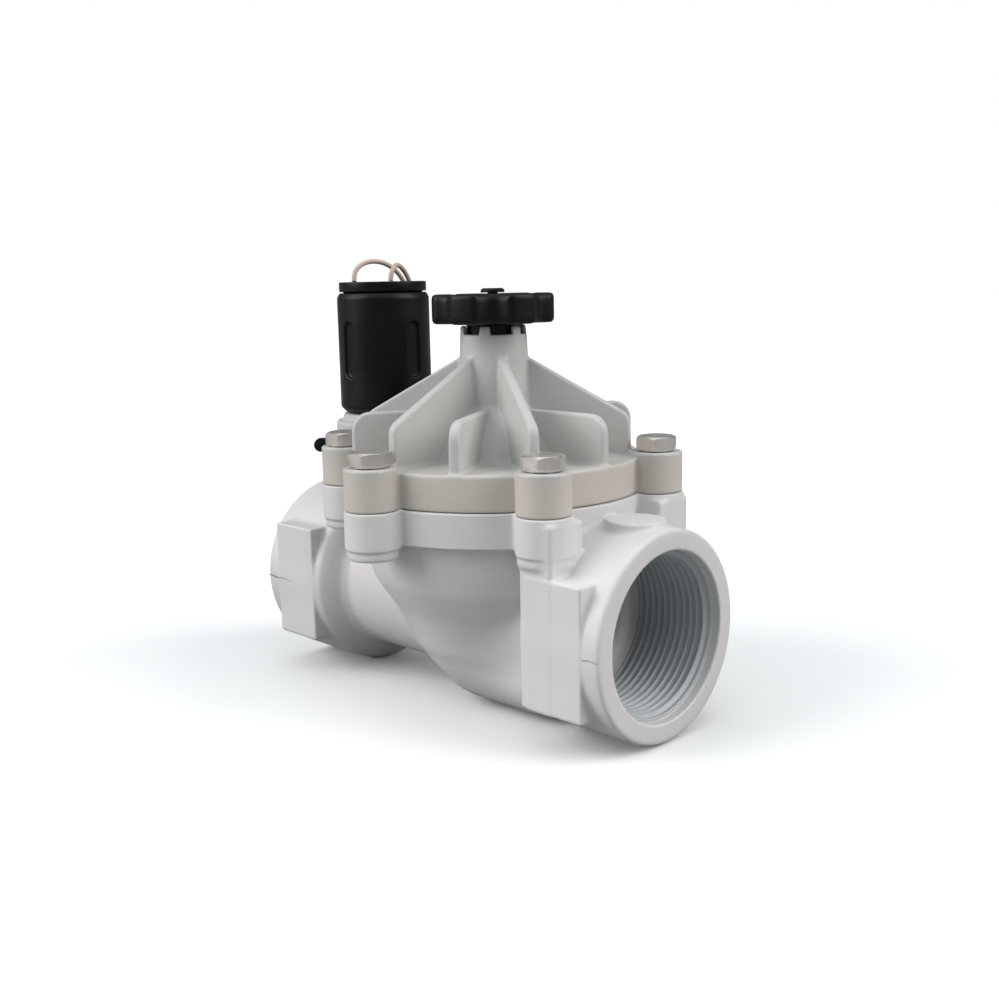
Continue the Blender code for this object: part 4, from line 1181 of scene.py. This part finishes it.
CARRIED_OVER = {
    "rubber": ["seat_washer", "spindle_o_ring", "solenoid_o_ring", "plunger_seal"],
    "white": ["diaphragm_plate", "diaphragm_guide", "flow_control_stop"],
    "steel": [
        "diaphragm_screw", "spindle_clip", "solenoid_plunger", "solenoid_pole", "solenoid_yoke",
    ],
    "brass": ["solenoid_core_tube", "pilot_nozzle", "flow_control_spindle"]
    + [f"threaded_insert_{i}" for i in range(1, 7)],
    "winding": ["solenoid_coil"],
}


def dress_inner_nodes(materials):
    """The pieces inside keep their solids and get finished materials."""
    for key, nodes in CARRIED_OVER.items():
        for node in nodes:
            found = frame["nodes"][node]
            for slot in found.material_slots:
                slot.link = "OBJECT"
                slot.material = materials[key]


# ---------------------------------------------------------------- soft pieces

DIAPHRAGM_HALF = 1.0
DIAPHRAGM_WEB_R = (21.5, 35.2)
DIAPHRAGM_WEB_Z = (24.3, 34.3)


def web_height(radius):
    """Height of the diaphragm's middle surface, rising in a smooth S-curve across the web."""
    inner, outer = DIAPHRAGM_WEB_R
    low, high = DIAPHRAGM_WEB_Z
    share = min(1.0, max(0.0, (radius - inner) / (outer - inner)))
    return low + (high - low) * (1 - math.cos(math.pi * share)) / 2


def diaphragm_mesh():
    """One turned sheet with rounded edges at its hole and its clamped rim."""
    half = DIAPHRAGM_HALF
    radii = np.linspace(*DIAPHRAGM_WEB_R, 25)
    upper = [(r, web_height(r) + half) for r in radii]
    lower = [(r, web_height(r) - half) for r in radii]
    hole = [(3.9, DIAPHRAGM_WEB_Z[0] + half), (3.6, DIAPHRAGM_WEB_Z[0] + half - 0.3)]
    hole += [(3.6, DIAPHRAGM_WEB_Z[0] - half + 0.3), (3.9, DIAPHRAGM_WEB_Z[0] - half)]
    rim = [(43.0, DIAPHRAGM_WEB_Z[1] - half), (43.4, DIAPHRAGM_WEB_Z[1] - half + 0.4)]
    rim += [(43.4, DIAPHRAGM_WEB_Z[1] + half - 0.4), (43.0, DIAPHRAGM_WEB_Z[1] + half)]
    outline = rim + upper[::-1] + hole + lower
    return facing_out(shade(lathe("diaphragm_sheet", outline, (BONNET_X, 0.0), 120, closed=True)))


def spring_mesh(name, axis_x, radius, heights, turns, wire):
    """A compression spring whose half turn at each end lies flat."""
    low, high = heights
    per_turn = 40
    rings = []
    for step in range(int(turns * per_turn) + 1):
        turn = step / per_turn
        share = min(1.0, max(0.0, (turn - 0.5) / (turns - 1.0)))
        outward = np.array([math.cos(2 * math.pi * turn), math.sin(2 * math.pi * turn), 0.0])
        middle = np.array([axis_x, 0.0, low + (high - low) * share]) + outward * radius
        ring = []
        for a in np.linspace(0.0, 2 * math.pi, 14, endpoint=False):
            ring.append(middle + outward * wire * math.cos(a) + np.array([0.0, 0.0, wire * math.sin(a)]))
        rings.append(ring)
    return facing_out(shade(rings_mesh(name, rings)))


def add_soft(mesh, material, node):
    """Puts a soft piece in place of its frame node, tied to the body, with a mesh of its own."""
    made = add_piece(mesh.name, mesh, material, "valve_body", [node])
    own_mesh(made)


def make_soft_pieces(materials):
    """The diaphragm and the two springs, each put in place of its frame node."""
    steel = materials["steel"]
    main = spring_mesh("main_coil_spring", BONNET_X, 10.2, (29.9, 55.8), 5.5, 0.8)
    small = spring_mesh("plunger_coil_spring", SOLENOID_X, 2.9, (70.9, 77.7), 4.5, 0.45)
    sheet = diaphragm_mesh()
    add_soft(sheet, materials["rubber"], "diaphragm")
    add_soft(main, steel, "main_spring")
    add_soft(small, steel, "plunger_spring")


make_camera()
MATERIALS = make_materials()
make_leads(MATERIALS)
make_studio()
make_body(MATERIALS)
make_bonnet(MATERIALS)
make_handle(MATERIALS)
make_handle_screw(MATERIALS)
make_housing(MATERIALS)
make_cap(MATERIALS)
make_bolts(MATERIALS)
make_bleed_screw(MATERIALS)
dress_inner_nodes(MATERIALS)
make_soft_pieces(MATERIALS)

sizes = {"cad": cad_bounds, "visual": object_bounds()}
{k: [[float(v) for v in corner] for corner in box] for k, box in sizes.items()}
